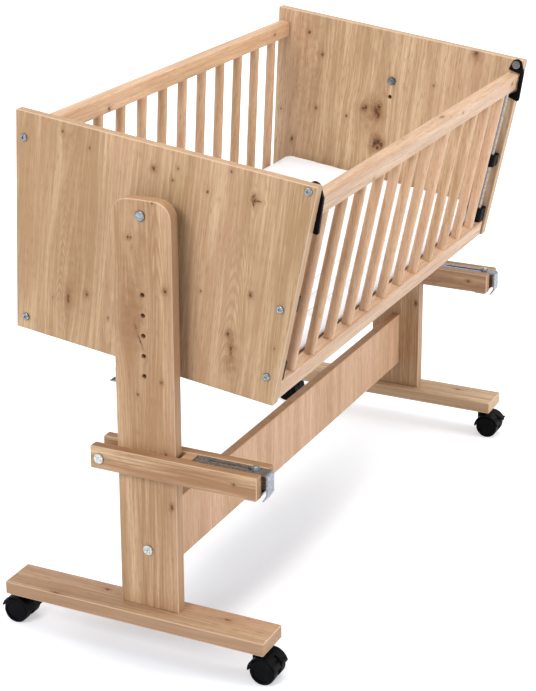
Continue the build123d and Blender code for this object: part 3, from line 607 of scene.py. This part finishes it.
@dataclass(frozen=True)
class KnitCover:
    """White knitted cover of cotton and polyester: matt white with a fine knit and grey stitching.

    The knit is drawn about twice as coarse as it is, to show at all. A stitch with its gap is as long as the
    stitch pitch, and it is drawn out to its width on each side of its row, full up to a share of that.
    """

    name: str = "white_knit_cover"
    colour: str = "edf0f5"
    shade: str = "e6eaf1"
    stitch: str = "a9a9b0"
    knit_mm: float = 2.4
    soft: Noise = Noise(71.43, 2)
    stitch_mm: float = 1.6
    stitch_pitch_mm: float = 6.0
    stitch_full: float = 0.4
    dash_ramp: Ramp = Ramp(0.25, 0.35, 1.0, 0.35)
    shade_ramp: Ramp = Ramp(0.3, 0.7, high=0.5)
    relief: float = 0.35
    relief_mm: float = 0.4
    roughness: float = 0.9
    sheen: float = 0.3
    sheen_roughness: float = 0.5

    def dress(self, board: BoardFrame, rows: tuple[float, ...]) -> Material:
        """Makes the cover, with its rows of stitching along the length.

        Args:
            board: the cradle's frame: across the mattress, through it and along the crib.
            rows: where each row of stitches is across the cradle, in metres.

        Returns:
            The material.
        """
        material, add = new_material(self.name)
        place = board.place(add)
        across, _, along = add("SeparateXYZ", {0: place}).node.outputs
        steps = add("Math", {0: along, 1: per_metre(self.stitch_pitch_mm)}, operation="MULTIPLY")
        steps = add("Math", {0: steps}, operation="FRACT")
        dash = add("MapRange", self.dash_ramp.of(steps))
        seam_ramp = Ramp(self.stitch_mm * MM, self.stitch_mm * MM * self.stitch_full)
        thread = 0.0
        for row in rows:
            off = add("Math", {0: across, 1: row}, operation="SUBTRACT")
            off = add("Math", {0: off}, operation="ABSOLUTE")
            seam = add("MapRange", seam_ramp.of(off))
            thread = add("Math", {0: thread, 1: seam}, operation="MAXIMUM")
        thread = add("Math", {0: thread, 1: dash}, operation="MULTIPLY")
        soft = add("TexNoise", self.soft.of(place))
        soft = add("MapRange", self.shade_ramp.of(soft))
        colour = add("Mix", {0: soft, 6: linear(self.colour), 7: linear(self.shade)}, **MIX)
        colour = add("Mix", {0: thread, 6: colour, 7: linear(self.stitch)}, **MIX)
        knit = add("TexVoronoi", {"Vector": place, "Scale": per_metre(self.knit_mm)})
        bump = {"Strength": self.relief, "Distance": self.relief_mm * MM, "Height": knit}
        surface = add("BsdfPrincipled", {
            "Base Color": colour,
            "Roughness": self.roughness,
            "Normal": add("Bump", bump),
            "Sheen Weight": self.sheen,
            "Sheen Roughness": self.sheen_roughness,
        })
        add("OutputMaterial", {"Surface": surface})
        return material


def give(nodes: list[str], material: Material) -> None:
    """Puts one material on CAD nodes.

    Args:
        nodes: the nodes' names.
        material: the material that replaces whatever they came with.
    """
    for name in nodes:
        mesh = frame["nodes"][name].data
        mesh.materials.clear()
        mesh.materials.append(material)
        log.info("dressed %s in %s", name, material.name)


def middle(node: str) -> Vector:
    """The middle of a CAD node's box at rest."""
    lo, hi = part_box(node)
    return (lo + hi) / 2


def thickness(node: str, axis: Axis) -> float:
    """How thick a CAD node's box is along one axis."""
    lo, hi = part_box(node)
    return hi[axis] - lo[axis]


def new_piece(name: str, points: np.ndarray, faces: list) -> bpy.types.Object:
    """Makes a mesh object at the origin, with its place in its vertices.

    Args:
        name: the piece's name.
        points: its vertices, one row each, in metres.
        faces: its faces as lists of vertex numbers.

    Returns:
        The object, linked to the scene.
    """
    mesh = bpy.data.meshes.new(name)
    mesh.from_pydata(points.tolist(), [], faces)
    mesh.update()
    piece = bpy.data.objects.new(name, mesh)
    bpy.context.scene.collection.objects.link(piece)
    return piece


def positions(mesh: bpy.types.Mesh) -> np.ndarray:
    """Reads where a mesh's vertices are.

    Args:
        mesh: the mesh.

    Returns:
        An array with one row for each vertex, in metres.
    """
    flat = np.empty(len(mesh.vertices) * 3, np.float32)
    mesh.vertices.foreach_get("co", flat)
    return flat.reshape(-1, 3).astype(float)


def move_to(mesh: bpy.types.Mesh, points: np.ndarray) -> None:
    """Moves a mesh's vertices to new places, one row each."""
    mesh.vertices.foreach_set("co", points.astype(np.float32).ravel())
    mesh.update()


def apply_modifiers(piece: bpy.types.Object) -> None:
    """Replaces a piece's mesh by the one that its modifiers give, and removes them.

    Args:
        piece: the piece.
    """
    graph = bpy.context.evaluated_depsgraph_get()
    mesh = bpy.data.meshes.new_from_object(piece.evaluated_get(graph))
    piece.modifiers.clear()
    piece.data = mesh


@dataclass(frozen=True)
class CradleFrame:
    """The cradle's own frame: its origin is the line of the pivot bolts, and it is tilted about X."""

    pivot: Vector
    tilt: float

    def to_world(self, points: np.ndarray) -> np.ndarray:
        """Turns places in the cradle's frame into places in the model: a rotation about X, then a shift.

        Args:
            points: the places, one row each, in metres.

        Returns:
            The turned and shifted rows.
        """
        x, y, z = points.T
        c, s = cos(self.tilt), sin(self.tilt)
        return np.stack([x, self.pivot.y + c * y - s * z, self.pivot.z + s * y + c * z], axis=1)

    def to_local(self, points: np.ndarray) -> np.ndarray:
        """Turns places in the model into places in the cradle's frame, the other way round.

        Args:
            points: the places, one row each, in metres.

        Returns:
            The rows in the cradle's frame.
        """
        x, y, z = points[:, 0], points[:, 1] - self.pivot.y, points[:, 2] - self.pivot.z
        c, s = cos(self.tilt), sin(self.tilt)
        return np.stack([x, c * y + s * z, c * z - s * y], axis=1)

    def board(self, x: float, grain: Grain) -> BoardFrame:
        """The frame of a board of the cradle.

        Args:
            x: where the board stands along the crib.
            grain: how it stands in the cradle.

        Returns:
            The board's frame in the model.
        """
        return BoardFrame(Vector((x, self.pivot.y, self.pivot.z)), grain, self.tilt)


SOLID_OAK = Oak(
    "oak_rear_rail", 3.1, pale="dcb997", dark="b28d69", blush="cca285", figure="9a7352",
    streak=Noise(12.0, 3), fine=Noise(1.8, 2), rings=18.0, contrast=0.9, scattered=0.5, roughness=0.42,
)
POST_OAK = Oak("oak_post_near", 1.3, pale="d2b18e", dark="a27d5a", scattered=0.4)
FOOT_OAK = Oak(
    "oak_foot_near", 5.1, pale="cdaf8f", dark="9d7c5b", band="b49077", corner="c6a98f", fine=Noise(3.4, 2),
)
PANEL_OAK = Oak("oak_end_panel_near", 11.9, scattered=0.3)


@dataclass(frozen=True)
class Stand:
    """Two posts on two feet, and the board between them."""

    post_oaks: tuple[Oak, Oak] = (POST_OAK, replace(POST_OAK, name="oak_post_far", seed=2.3))
    foot_oaks: tuple[Oak, Oak] = (
        FOOT_OAK,
        Oak("oak_foot_far", 6.1, pale="e2c6a4", dark="b99772", band="ccac8d", fine=FOOT_OAK.fine),
    )
    # The stretcher's band is far darker than its wood: painted shade for its top edge under the cradle, which its
    # ends and underside get too.
    stretcher_oak_painted_shade: Oak = Oak(
        "oak_stretcher_painted_shade", 8.7, pale="d6b494", dark="b48d6c", blush="cfa48a", band="94704f", corner="cba582",
    )
    post_knots: tuple[Knot, ...] = (
        Knot(21.8, 600.5, 3.0), Knot(17.0, 601.0, 2.0, halo=0.1), Knot(-38.9, 525.0, 4.0, 1.3, halo=0.6),
        Knot(5.5, 442.0, 1.3, 9.0, turn=-22.0), Knot(13.0, 463.0, 2.0, 2.5, turn=-22.0),
        Knot(19.0, 474.0, 11.0, 2.6, core=0.0, halo=0.75), Knot(8.0, 614.0, 12.0, 4.5, core=0.0, halo=0.35),
        Knot(-28.7, 380.7, 3.0, 1.2), Knot(11.6, 354.5, 2.6, 1.1), Knot(-33.9, 264.6, 2.2),
        Knot(-20.0, 658.0, 2.4), Knot(-42.3, 178.6, 4.0, 1.6, halo=0.6),
    )
    post_arches: tuple[Arch, ...] = (
        Arch(-25.0, 606.0, 1.7, 44.0, 22.0, 504.0, 649.0), Arch(-8.0, 324.0, 2.0, 30.0, 24.0, 244.0, 354.0),
    )
    foot_knots: tuple[Knot, ...] = (
        Knot(-33.0, 136.0, 5.0, 1.6, halo=0.8), Knot(14.0, 68.0, 3.0, 1.8),
        Knot(10.0, -148.0, 4.0, 3.0, core=0.6),
    )

    def dress(self) -> None:
        """Dresses the posts, feet and stretcher, each with its own oak."""
        for end, post_oak, foot_oak in zip(End, self.post_oaks, self.foot_oaks):
            post = "post_" + end.value
            foot_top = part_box(post)[0].z
            board = BoardFrame(Vector((middle(post).x, middle(post).y, foot_top)), Grain.UP_FACING_X)
            half = thickness(post, Axis.X) / 2
            give([post], post_oak.dress(board, half, self.post_knots, self.post_arches))
            foot = "foot_" + end.value
            board = BoardFrame(middle(foot), Grain.LONG_Y_FACING_Z)
            give([foot], foot_oak.dress(board, thickness(foot, Axis.Z) / 2, self.foot_knots))
        board = BoardFrame(middle("stretcher"), Grain.UP_FACING_Y)
        give(["stretcher"], self.stretcher_oak_painted_shade.dress(board, thickness("stretcher", Axis.Y) / 2))


@dataclass(frozen=True)
class Cradle:
    """The box that hangs between the posts: end panels, rear side and base."""

    tilt: float = radians(7.2)
    panel_oaks: tuple[Oak, Oak] = (
        PANEL_OAK,
        replace(PANEL_OAK, name="oak_end_panel_far", seed=14.2, pale="dec19e", dark="b08f6c", blush="d1a88d"),
    )
    rail_oak: Oak = SOLID_OAK
    bar_oak: Oak = replace(SOLID_OAK, name="oak_rear_bar", seed=4.4)
    birch: Oak = Oak(
        "birch", 6.2, pale="e0c8a6", dark="c2a27a", blush="d6b492", figure="b08c62", rings=12.0,
        scattered=0.0,
    )
    near_knots: tuple[Knot, ...] = (
        Knot(9.3, 58.8, 3.6, halo=0.5), Knot(118.6, 63.9, 2.0, 1.8), Knot(166.9, 78.5, 2.4),
        Knot(-30.6, 68.1, 2.2), Knot(-23.7, 48.3, 2.4), Knot(-81.5, 45.3, 2.2),
        Knot(-115.8, 85.0, 2.0), Knot(-157.2, 51.5, 3.6, 1.2, halo=0.7),
        Knot(-168.0, -93.0, 3.6, 1.5, halo=0.6), Knot(-155.6, 45.5, 1.7, 3.6, turn=-20.0),
        Knot(-154.6, 56.5, 1.7, 2.6, turn=28.0), Knot(-162.6, 51.5, 1.5, 3.2, turn=90.0),
        Knot(-138.5, -164.0, 3.2, 1.6, halo=0.6), Knot(-146.5, -187.0, 3.0, 3.5, halo=0.7),
        Knot(-150.0, -210.0, 6.0, 3.0, core=0.0, halo=0.6), Knot(135.2, -183.3, 3.0, 3.4, halo=0.6),
        Knot(103.2, -168.2, 3.0, halo=0.5), Knot(63.6, -196.3, 2.2), Knot(163.0, -190.0, 2.0, core=0.6),
        Knot(132.0, -130.0, 14.0, 4.0, core=0.0, halo=0.35), Knot(-215.0, -164.5, 2.2, core=0.7),
        Knot(157.0, 88.0, 9.0, 2.0, core=0.0, halo=0.4), Knot(-87.5, -109.0, 2.4, core=0.6),
    )
    near_arches: tuple[Arch, ...] = (
        Arch(152.0, -20.0, 2.6, 15.0, 26.0, -210.0, 20.0), Arch(-140.0, -60.0, 5.0, 22.0, 45.0, -240.0, 10.0),
    )
    far_knots: tuple[Knot, ...] = (
        Knot(181.0, 56.2, 2.8), Knot(148.5, 19.2, 3.0), Knot(-156.9, 88.1, 4.0, 1.3, halo=0.8),
        Knot(49.5, -66.0, 4.6, 1.0, core=1.3, halo=0.5), Knot(45.0, -63.0, 2.6, 1.4, core=1.4, halo=0.2),
        Knot(19.5, -57.0, 4.0, 1.7, core=1.5, halo=0.45), Knot(18.0, -74.0, 3.2, 1.8, core=1.6, halo=0.35),
        Knot(22.5, -66.0, 4.4, 1.8, core=1.6, halo=0.45, turn=-15.0), Knot(83.0, -89.5, 2.6),
        Knot(34.0, -82.0, 11.0, 1.4, core=0.0, halo=0.6), Knot(148.5, -88.0, 2.4, 1.6),
        Knot(191.1, -163.0, 2.6, 2.4, halo=0.6), Knot(11.0, -137.0, 4.4),
        Knot(17.5, -129.0, 5.0, 1.9, core=1.6, halo=0.45, turn=12.0),
        Knot(10.5, -124.5, 5.4, 0.9, core=1.6), Knot(3.5, -129.0, 4.6, 1.3, core=1.4),
        Knot(-83.8, 9.1, 2.2, core=0.7), Knot(222.0, -107.0, 2.4, core=0.7),
        Knot(194.0, 20.0, 12.0, 5.0, core=0.0, halo=0.3), Knot(160.0, -10.0, 7.0, 7.0, core=0.0, halo=0.3),
    )
    rear_knots: tuple[Knot, ...] = (
        Knot(222.7, -235.0, 3.6, height=47.1, halo=0.5), Knot(223.4, 385.5, 3.0, height=55.1),
        Knot(221.8, -269.7, 6.0, 1.6, core=0.7, height=37.0),
    )

    def own_frame(self) -> CradleFrame:
        """The cradle's tilted frame, from the joint that it swings on."""
        swing = next(joint for joint in frame["joints"] if joint["name"] == "cradle_swing")
        return CradleFrame(Vector(swing["pos_m"]), self.tilt)

    def dress(self, tilted: CradleFrame) -> None:
        """Dresses the end panels, the rear side and the base.

        Args:
            tilted: the cradle's frame.
        """
        features = ((self.near_knots, self.near_arches), (self.far_knots, ()))
        for end, oak, (knots, arches) in zip(End, self.panel_oaks, features):
            panel = "end_panel_" + end.value
            board = tilted.board(middle(panel).x, Grain.UP_FACING_X)
            give([panel], oak.dress(board, thickness(panel, Axis.X) / 2, knots, arches))
        along = tilted.board(0.0, Grain.LONG_X)
        give(["rear_top_rail", "rear_bottom_rail"], self.rail_oak.dress(along, knots=self.rear_knots))
        give(["rear_bars"], self.bar_oak.dress(tilted.board(0.0, Grain.UP_FACING_X)))
        give(["base_cleats", "base_batten", "base_slats"], self.birch.dress(along))


@dataclass(frozen=True)
class Gate:
    """The front side, which slides down on its two rods."""

    rail_oak: Oak = replace(
        SOLID_OAK, name="oak_gate_rail", seed=9.3, pale="d4b496", dark="aa8869", blush="c49d80",
    )
    bar_oak: Oak = replace(SOLID_OAK, name="oak_gate_bar", seed=7.7)
    knots: tuple[Knot, ...] = (
        Knot(-245.9, 151.3, 2.6, height=61.9), Knot(-244.4, -232.1, 3.0, height=43.0),
        Knot(-245.7, 414.9, 4.0, height=57.0), Knot(-234.5, 76.5, 3.2, 3.0, height=69.0),
        Knot(-230.7, -89.0, 2.0, 3.0, core=0.6, height=69.3),
    )

    def dress(self, tilted: CradleFrame) -> None:
        """Dresses the gate's rails and bars.

        Args:
            tilted: the cradle's frame, which the gate slides in.
        """
        rails = self.rail_oak.dress(tilted.board(0.0, Grain.LONG_X), knots=self.knots)
        give(["gate_top_rail", "gate_bottom_rail"], rails)
        give(["gate_bars"], self.bar_oak.dress(tilted.board(0.0, Grain.UP_FACING_X)))


@dataclass(frozen=True)
class Mattress:
    """The foam mattress in its knitted cover, with three rows of stitching along its front edge."""

    name: str = "mattress_cover"
    cover: KnitCover = KnitCover()
    voxel: float = 6 * MM
    inset: float = 2 * MM
    edge: float = 7 * MM
    corner: float = 16 * MM
    around: int = 240
    over: int = 12
    cloth_quality: int = 5
    cloth_mass: float = 0.3
    pressure: float = 4.0
    steps: int = 20
    swell: float = 4 * MM
    rows_in: tuple[float, ...] = (26 * MM, 50 * MM, 76 * MM)
    channel_depth: float = 1.6 * MM
    channel_half: float = 4 * MM
    pucker: float = 12 * MM
    pucker_share: float = 0.2

    def form(self, lo: np.ndarray, hi: np.ndarray) -> tuple[np.ndarray, list]:
        """The cover before it is stuffed: a stack of rounded rectangles, drawn in at top and bottom.

        With the angle a from -90 to 90 degrees, a ring's height over the middle is sin(a) times the edge,
        plus 2 * sin(a), kept within -1 and 1, times the straight part of half the thickness. A ring is a
        rounded rectangle: each corner is a quarter circle about a point set in by the corner's radius, and
        its radius is less by the edge times 1 - cos(a).

        Args:
            lo: the lowest corner of the space, in the cradle's frame.
            hi: the highest corner.

        Returns:
            The vertices and the faces of a closed form.
        """
        centre = (lo + hi) / 2
        half = (hi - lo) / 2 - self.inset
        angle = np.linspace(-tau / 4, tau / 4, self.over)[:, None]
        turn = np.linspace(0, tau, self.around, endpoint=False)
        past_zero = turn + 1e-9
        radius = self.corner - self.edge * (1 - np.cos(angle))
        x = centre[0] + np.sign(np.cos(past_zero)) * (half[0] - self.corner) + radius * np.cos(turn)
        y = centre[1] + np.sign(np.sin(past_zero)) * (half[1] - self.corner) + radius * np.sin(turn)
        straight = half[2] - self.edge
        z = centre[2] + straight * np.clip(2 * np.sin(angle), -1, 1) + self.edge * np.sin(angle)
        points = np.stack(np.broadcast_arrays(x, y, z), axis=-1).reshape(-1, 3)
        grid = np.arange(self.over * self.around).reshape(self.over, self.around)
        right = np.roll(grid, -1, axis=1)
        quads = np.stack([grid[:-1], right[:-1], right[1:], grid[1:]], axis=-1).reshape(-1, 4)
        faces = quads.tolist() + [grid[0, ::-1].tolist(), grid[-1].tolist()]
        return points, faces

    def stuff(self, piece: bpy.types.Object) -> None:
        """Blows the cover up like a filled one, by a cloth simulation with pressure and no gravity.

        Args:
            piece: the remeshed cover, whose vertices then move by no more than the swell.
        """
        start = positions(piece.data)
        cloth = piece.modifiers.new("stuffing", "CLOTH").settings
        cloth.quality = self.cloth_quality
        cloth.mass = self.cloth_mass
        cloth.use_pressure = True
        cloth.uniform_pressure_force = self.pressure
        cloth.effector_weights.gravity = 0.0
        scene = bpy.context.scene
        for step in range(1, self.steps + 1):
            scene.frame_set(step)
        apply_modifiers(piece)
        scene.frame_set(1)
        move = positions(piece.data) - start
        far = np.linalg.norm(move, axis=1, keepdims=True)
        move_to(piece.data, start + move * np.minimum(1.0, self.swell / np.maximum(far, 1e-9)))

    def sew(self, piece: bpy.types.Object, tilted: CradleFrame, lo: np.ndarray, hi: np.ndarray) -> None:
        """Keeps the cover in its space and sews its channels.

        A channel is a furrow of depth exp(-(y / half) squared), which puckers as a cosine along the row.

        Args:
            piece: the cover.
            tilted: the cradle's frame.
            lo: the lowest corner of the space that the mattress has, in the cradle's frame.
            hi: the highest corner.
        """
        local = np.clip(tilted.to_local(positions(piece.data)), lo, hi)
        top = local[:, 2] > (lo[2] + hi[2]) / 2
        for row_in in self.rows_in:
            off = local[:, 1] - (lo[1] + row_in)
            furrow = self.channel_depth * np.exp(-((off / self.channel_half) ** 2))
            ripple = np.cos(tau * local[:, 0] / self.pucker)
            puckered = 1 - self.pucker_share + self.pucker_share * ripple
            local[:, 2] -= np.where(top, furrow * puckered, 0.0)
        move_to(piece.data, tilted.to_world(local))

    def build(self, tilted: CradleFrame) -> bpy.types.Object:
        """Builds, stuffs, sews and dresses the mattress.

        Args:
            tilted: the cradle's frame.

        Returns:
            The mattress, riding on the cradle.
        """
        solid = tilted.to_local(positions(frame["nodes"]["mattress"].data))
        lo, hi = solid.min(axis=0), solid.max(axis=0)
        points, faces = self.form(lo, hi)
        piece = new_piece(self.name, tilted.to_world(points), faces)
        remesh = piece.modifiers.new("fine_cloth", "REMESH")
        remesh.mode = "VOXEL"
        remesh.voxel_size = self.voxel
        apply_modifiers(piece)
        self.stuff(piece)
        smooth = piece.modifiers.new("soft", "SUBSURF")
        smooth.levels = 1
        smooth.render_levels = 1
        apply_modifiers(piece)
        self.sew(piece, tilted, lo, hi)
        piece.data.polygons.foreach_set("use_smooth", [True] * len(piece.data.polygons))
        rows = tuple(lo[1] + row_in for row_in in self.rows_in)
        piece.data.materials.clear()
        piece.data.materials.append(self.cover.dress(tilted.board(0.0, Grain.LONG_X), rows))
        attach(piece, "cradle")
        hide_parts("mattress")
        log.info("built %s with %d faces", piece.name, len(piece.data.polygons))
        return piece


@dataclass(frozen=True)
class Arms:
    """The arms that clamp the crib to a bed: two bars on each post, and the block between them."""

    bar_oak: Oak = Oak("oak_arm_bar", 15.2, dark="966f4b", contrast=1.2)
    seed_step: float = 0.37
    block_oak: Oak = Oak("oak_block", 2.2, dark="966f4b")
    knots: tuple[Knot, ...] = (Knot(2.0, -104.0, 3.0, 1.2, halo=0.5), Knot(-8.0, -30.0, 4.0, 4.0, core=0.0))

    def dress(self) -> None:
        """Dresses the arms' boards."""
        for n, end in enumerate(End):
            for side, kind in enumerate(("arm_outer_bar_", "arm_inner_bar_")):
                bar = kind + end.value
                board = BoardFrame(middle(bar), Grain.LONG_Y_FACING_X)
                seed = self.bar_oak.seed + n + self.seed_step * side
                oak = replace(self.bar_oak, name="oak_" + bar, seed=seed)
                give([bar], oak.dress(board, thickness(bar, Axis.X) / 2, self.knots))
            block = "arm_block_" + end.value
            board = BoardFrame(middle(block), Grain.LONG_Y_FACING_X)
            oak = replace(self.block_oak, name="oak_block_" + end.value, seed=self.block_oak.seed + n)
            give([block], oak.dress(board))


@dataclass(frozen=True)
class Hardware:
    """All that is metal or plastic: bolts, rods, hooks, clips, catches and castors."""

    bright_bolts: tuple[str, ...] = ("stretcher_bolts", "arm_bolts_near", "arm_bolts_far")
    bright_zinc: SmoothFinish = replace(
        ZINC_PLATE, name="bright_zinc_plate", colour="d3d2cc", patch_colour="8b8f90", patch=Noise(2.5, 3),
    )
    zinc: SmoothFinish = ZINC_PLATE
    strap: SmoothFinish = replace(
        ZINC_PLATE, name="steel_strap", colour="a5a9b0", patch_colour="73777e", roughness=(0.3, 0.44),
    )
    rod: SmoothFinish = replace(
        ZINC_PLATE, name="bright_rod", colour="a19c97", patch_colour="817b76", roughness=(0.36, 0.5),
    )
    nylon: SmoothFinish = BLACK_NYLON
    tread: SmoothFinish = replace(
        BLACK_NYLON, name="black_wheel", colour="08080a", patch_colour="141416", roughness=(0.42, 0.58),
    )

    def dress(self) -> None:
        """Gives each node that isn't wood or cloth its metal or plastic, by its name or else by its slot."""
        chosen = dict.fromkeys(self.bright_bolts, self.bright_zinc.dress())
        chosen["gate_rods"] = self.rod.dress()
        slots = {
            "zinc": self.zinc.dress(),
            "steel": self.strap.dress(),
            "black_plastic": self.nylon.dress(),
            "wheel_plastic": self.tread.dress(),
        }
        for part in frame["record"]["subparts"]:
            material = chosen.get(part["node"]) or slots.get(part["material_slot"])
            if material:
                give([part["node"]], material)


@dataclass(frozen=True)
class Lamp:
    """A square soft box: where it hangs and its side in metres, and its power in watts."""

    name: str
    place: tuple[float, float, float]
    side: float
    power: float

    def hang(self, aim: Vector) -> None:
        """Hangs the lamp so that it faces a place.

        Args:
            aim: the place, in metres.
        """
        data = bpy.data.lights.new(self.name, "AREA")
        data.shape = "SQUARE"
        data.size = self.side
        data.energy = self.power
        lamp = bpy.data.objects.new(self.name, data)
        lamp.location = self.place
        lamp.rotation_euler = (aim - Vector(self.place)).to_track_quat("-Z", "Y").to_euler()
        bpy.context.scene.collection.objects.link(lamp)


@dataclass(frozen=True)
class Studio:
    """A white floor, soft light and a camera where the photographer stood.

    Places and lengths are in metres. The floor glows by painted_shadow_glow across the edge of a band round
    painted_shadow_middle and under the near foot. It glows less inside that band, which paints a soft shadow under
    the crib whatever light falls there, and far_glow is added further away.
    """

    camera_place: tuple[float, float, float] = (-2.71625, -1.26989, 1.48933)
    yaw: float = radians(64.072)
    pitch: float = radians(17.76)
    roll: float = radians(0.219)
    focal_px: float = 1829.07
    centre_px: tuple[float, float] = (264.31, 239.02)
    frame_px: tuple[float, float] = (536.0, 691.0)
    sensor_mm: float = 36.0
    farthest: float = 100.0
    floor_size: float = 24.0
    floor_colour: str = "dfe3ea"
    white: str = "ffffff"
    world_light: float = 0.66
    # The floor glows less in a band under the crib and the near foot: a painted shadow.
    painted_shadow_glow: Ramp = Ramp(0.03, 0.15, 0.16, 0.5)
    painted_shadow_middle: float = -0.2
    painted_shadow_narrow: float = 0.22
    foot_x: float = -0.5
    painted_foot_shadow_narrow: float = 0.45
    far_glow: Ramp = Ramp(0.9, 2.2, high=0.5)
    lamps_aim: tuple[float, float, float] = (0.0, 0.0, 0.45)
    lamps: tuple[Lamp, ...] = (
        Lamp("left_softbox", (-3.2, 0.5, 2.5), 1.3, 64.0),
        Lamp("front_right_softbox", (0.7, -3.6, 1.3), 1.6, 70.0),
        Lamp("overhead_softbox", (0.2, -0.3, 3.4), 2.2, 52.0),
    )

    def camera(self) -> None:
        """Sets the camera from the place, the angles and the focal length that fit the photograph."""
        forward = Vector((sin(self.yaw) * cos(self.pitch), cos(self.yaw) * cos(self.pitch), -sin(self.pitch)))
        level = Vector((cos(self.yaw), -sin(self.yaw), 0.0))
        down = forward.cross(level)
        right = cos(self.roll) * level + sin(self.roll) * down
        up = sin(self.roll) * level - cos(self.roll) * down
        width_px, height_px = self.frame_px
        data = bpy.data.cameras.new("camera")
        data.sensor_width = self.sensor_mm
        data.lens = self.focal_px * self.sensor_mm / height_px
        data.shift_x = (width_px / 2 - self.centre_px[0]) / height_px
        data.shift_y = (self.centre_px[1] - height_px / 2) / height_px
        data.clip_end = self.farthest
        camera = bpy.data.objects.new("camera", data)
        turn = Matrix((right, up, -forward)).transposed()
        camera.matrix_world = Matrix.Translation(Vector(self.camera_place)) @ turn.to_4x4()
        bpy.context.scene.collection.objects.link(camera)
        bpy.context.scene.camera = camera

    def background_ray(self, add: AddNode) -> Socket:
        """Tells the background as it is looked at from its light.

        Args:
            add: adds a node to the floor's material or to the world.

        Returns:
            One where the eye, a reflection or a clear surface looks at the background, else zero.
        """
        rays = add("LightPath").node.outputs
        seen = rays["Is Camera Ray"]
        for ray in ("Is Glossy Ray", "Is Transmission Ray"):
            seen = add("Math", {0: seen, 1: rays[ray]}, operation="MAXIMUM")
        return seen

    def world(self) -> None:
        """Sets an even white surround: dimmer as a light than it looks."""
        world = bpy.data.worlds.new("studio")
        world.use_nodes = True
        world.node_tree.nodes.clear()
        add = partial(add_node, world.node_tree)
        seen = self.background_ray(add)
        strength = add("MapRange", Ramp(0.0, 1.0, low=self.world_light).of(seen))
        light = add("Background", {"Color": linear(self.white), "Strength": strength})
        add("OutputWorld", {"Surface": light})
        bpy.context.scene.world = world

    def glow(self, add: AddNode) -> Socket:
        """How strongly the floor shines by itself, where it is looked at, so that it shows white.

        It shines less in a band under the crib and the near foot, which paints a soft shadow there, and more
        far away. The band is the nearer of an ellipse along the crib, the length of (narrow * (x - middle), y),
        and one under the near foot, the length of (x - foot_x, painted_foot_shadow_narrow * y).

        Args:
            add: adds a node to the floor's material.

        Returns:
            The strength.
        """
        here = add("TexCoord", out="Object")
        painted_shadows = (self.painted_shadow_middle, (self.painted_shadow_narrow, 1, 1)), (self.foot_x, (1, self.painted_foot_shadow_narrow, 1))
        lengths = []
        for middle_x, shares in painted_shadows:
            offset = add("VectorMath", {0: here, 1: (middle_x, 0, 0)}, operation="SUBTRACT")
            offset = add("VectorMath", {0: offset, 1: shares}, operation="MULTIPLY")
            lengths.append(add("VectorMath", {0: offset}, out="Value", operation="LENGTH"))
        # The painted shadow: the glow is lowest inside the band and rises across its edge.
        outside_painted_shadow = add("Math", {0: lengths[0], 1: lengths[1]}, operation="MINIMUM")
        outside_painted_shadow = add("MapRange", self.painted_shadow_glow.of(outside_painted_shadow), interpolation_type="SMOOTHSTEP")
        away = add("VectorMath", {0: here}, out="Value", operation="LENGTH")
        away = add("MapRange", self.far_glow.of(away), interpolation_type="SMOOTHSTEP")
        glow = add("Math", {0: outside_painted_shadow, 1: away}, operation="ADD")
        return add("Math", {0: self.background_ray(add), 1: glow}, operation="MULTIPLY")

    def floor(self) -> None:
        """Lays a pale matt floor of paper that glows, and so shows white round the crib's shadow and round the
        painted shadow in its band.
        """
        half = self.floor_size / 2
        corners = np.array([(-half, -half, 0), (half, -half, 0), (half, half, 0), (-half, half, 0)])
        floor = new_piece("floor", corners, [[0, 1, 2, 3]])
        material, add = new_material("white_paper_floor")
        matt = add("BsdfDiffuse", {"Color": linear(self.floor_colour)})
        shine = add("Emission", {"Color": linear(self.white), "Strength": self.glow(add)})
        both = add("AddShader", {0: matt, 1: shine})
        add("OutputMaterial", {"Surface": both})
        floor.data.materials.append(material)

    def build(self) -> None:
        """Sets up the camera, the surround, the floor and the lamps."""
        self.camera()
        self.world()
        self.floor()
        for lamp in self.lamps:
            lamp.hang(Vector(self.lamps_aim))
        bpy.context.scene.view_settings.view_transform = "Standard"


def main() -> None:
    """Builds and dresses the crib, one sub-assembly after another."""
    logging.basicConfig(level=logging.INFO, format="%(message)s")
    Studio().build()
    cradle = Cradle()
    tilted = cradle.own_frame()
    cradle.dress(tilted)
    Stand().dress()
    Gate().dress(tilted)
    Arms().dress()
    Hardware().dress()
    Mattress().build(tilted)


if __name__ == "__main__":
    main()
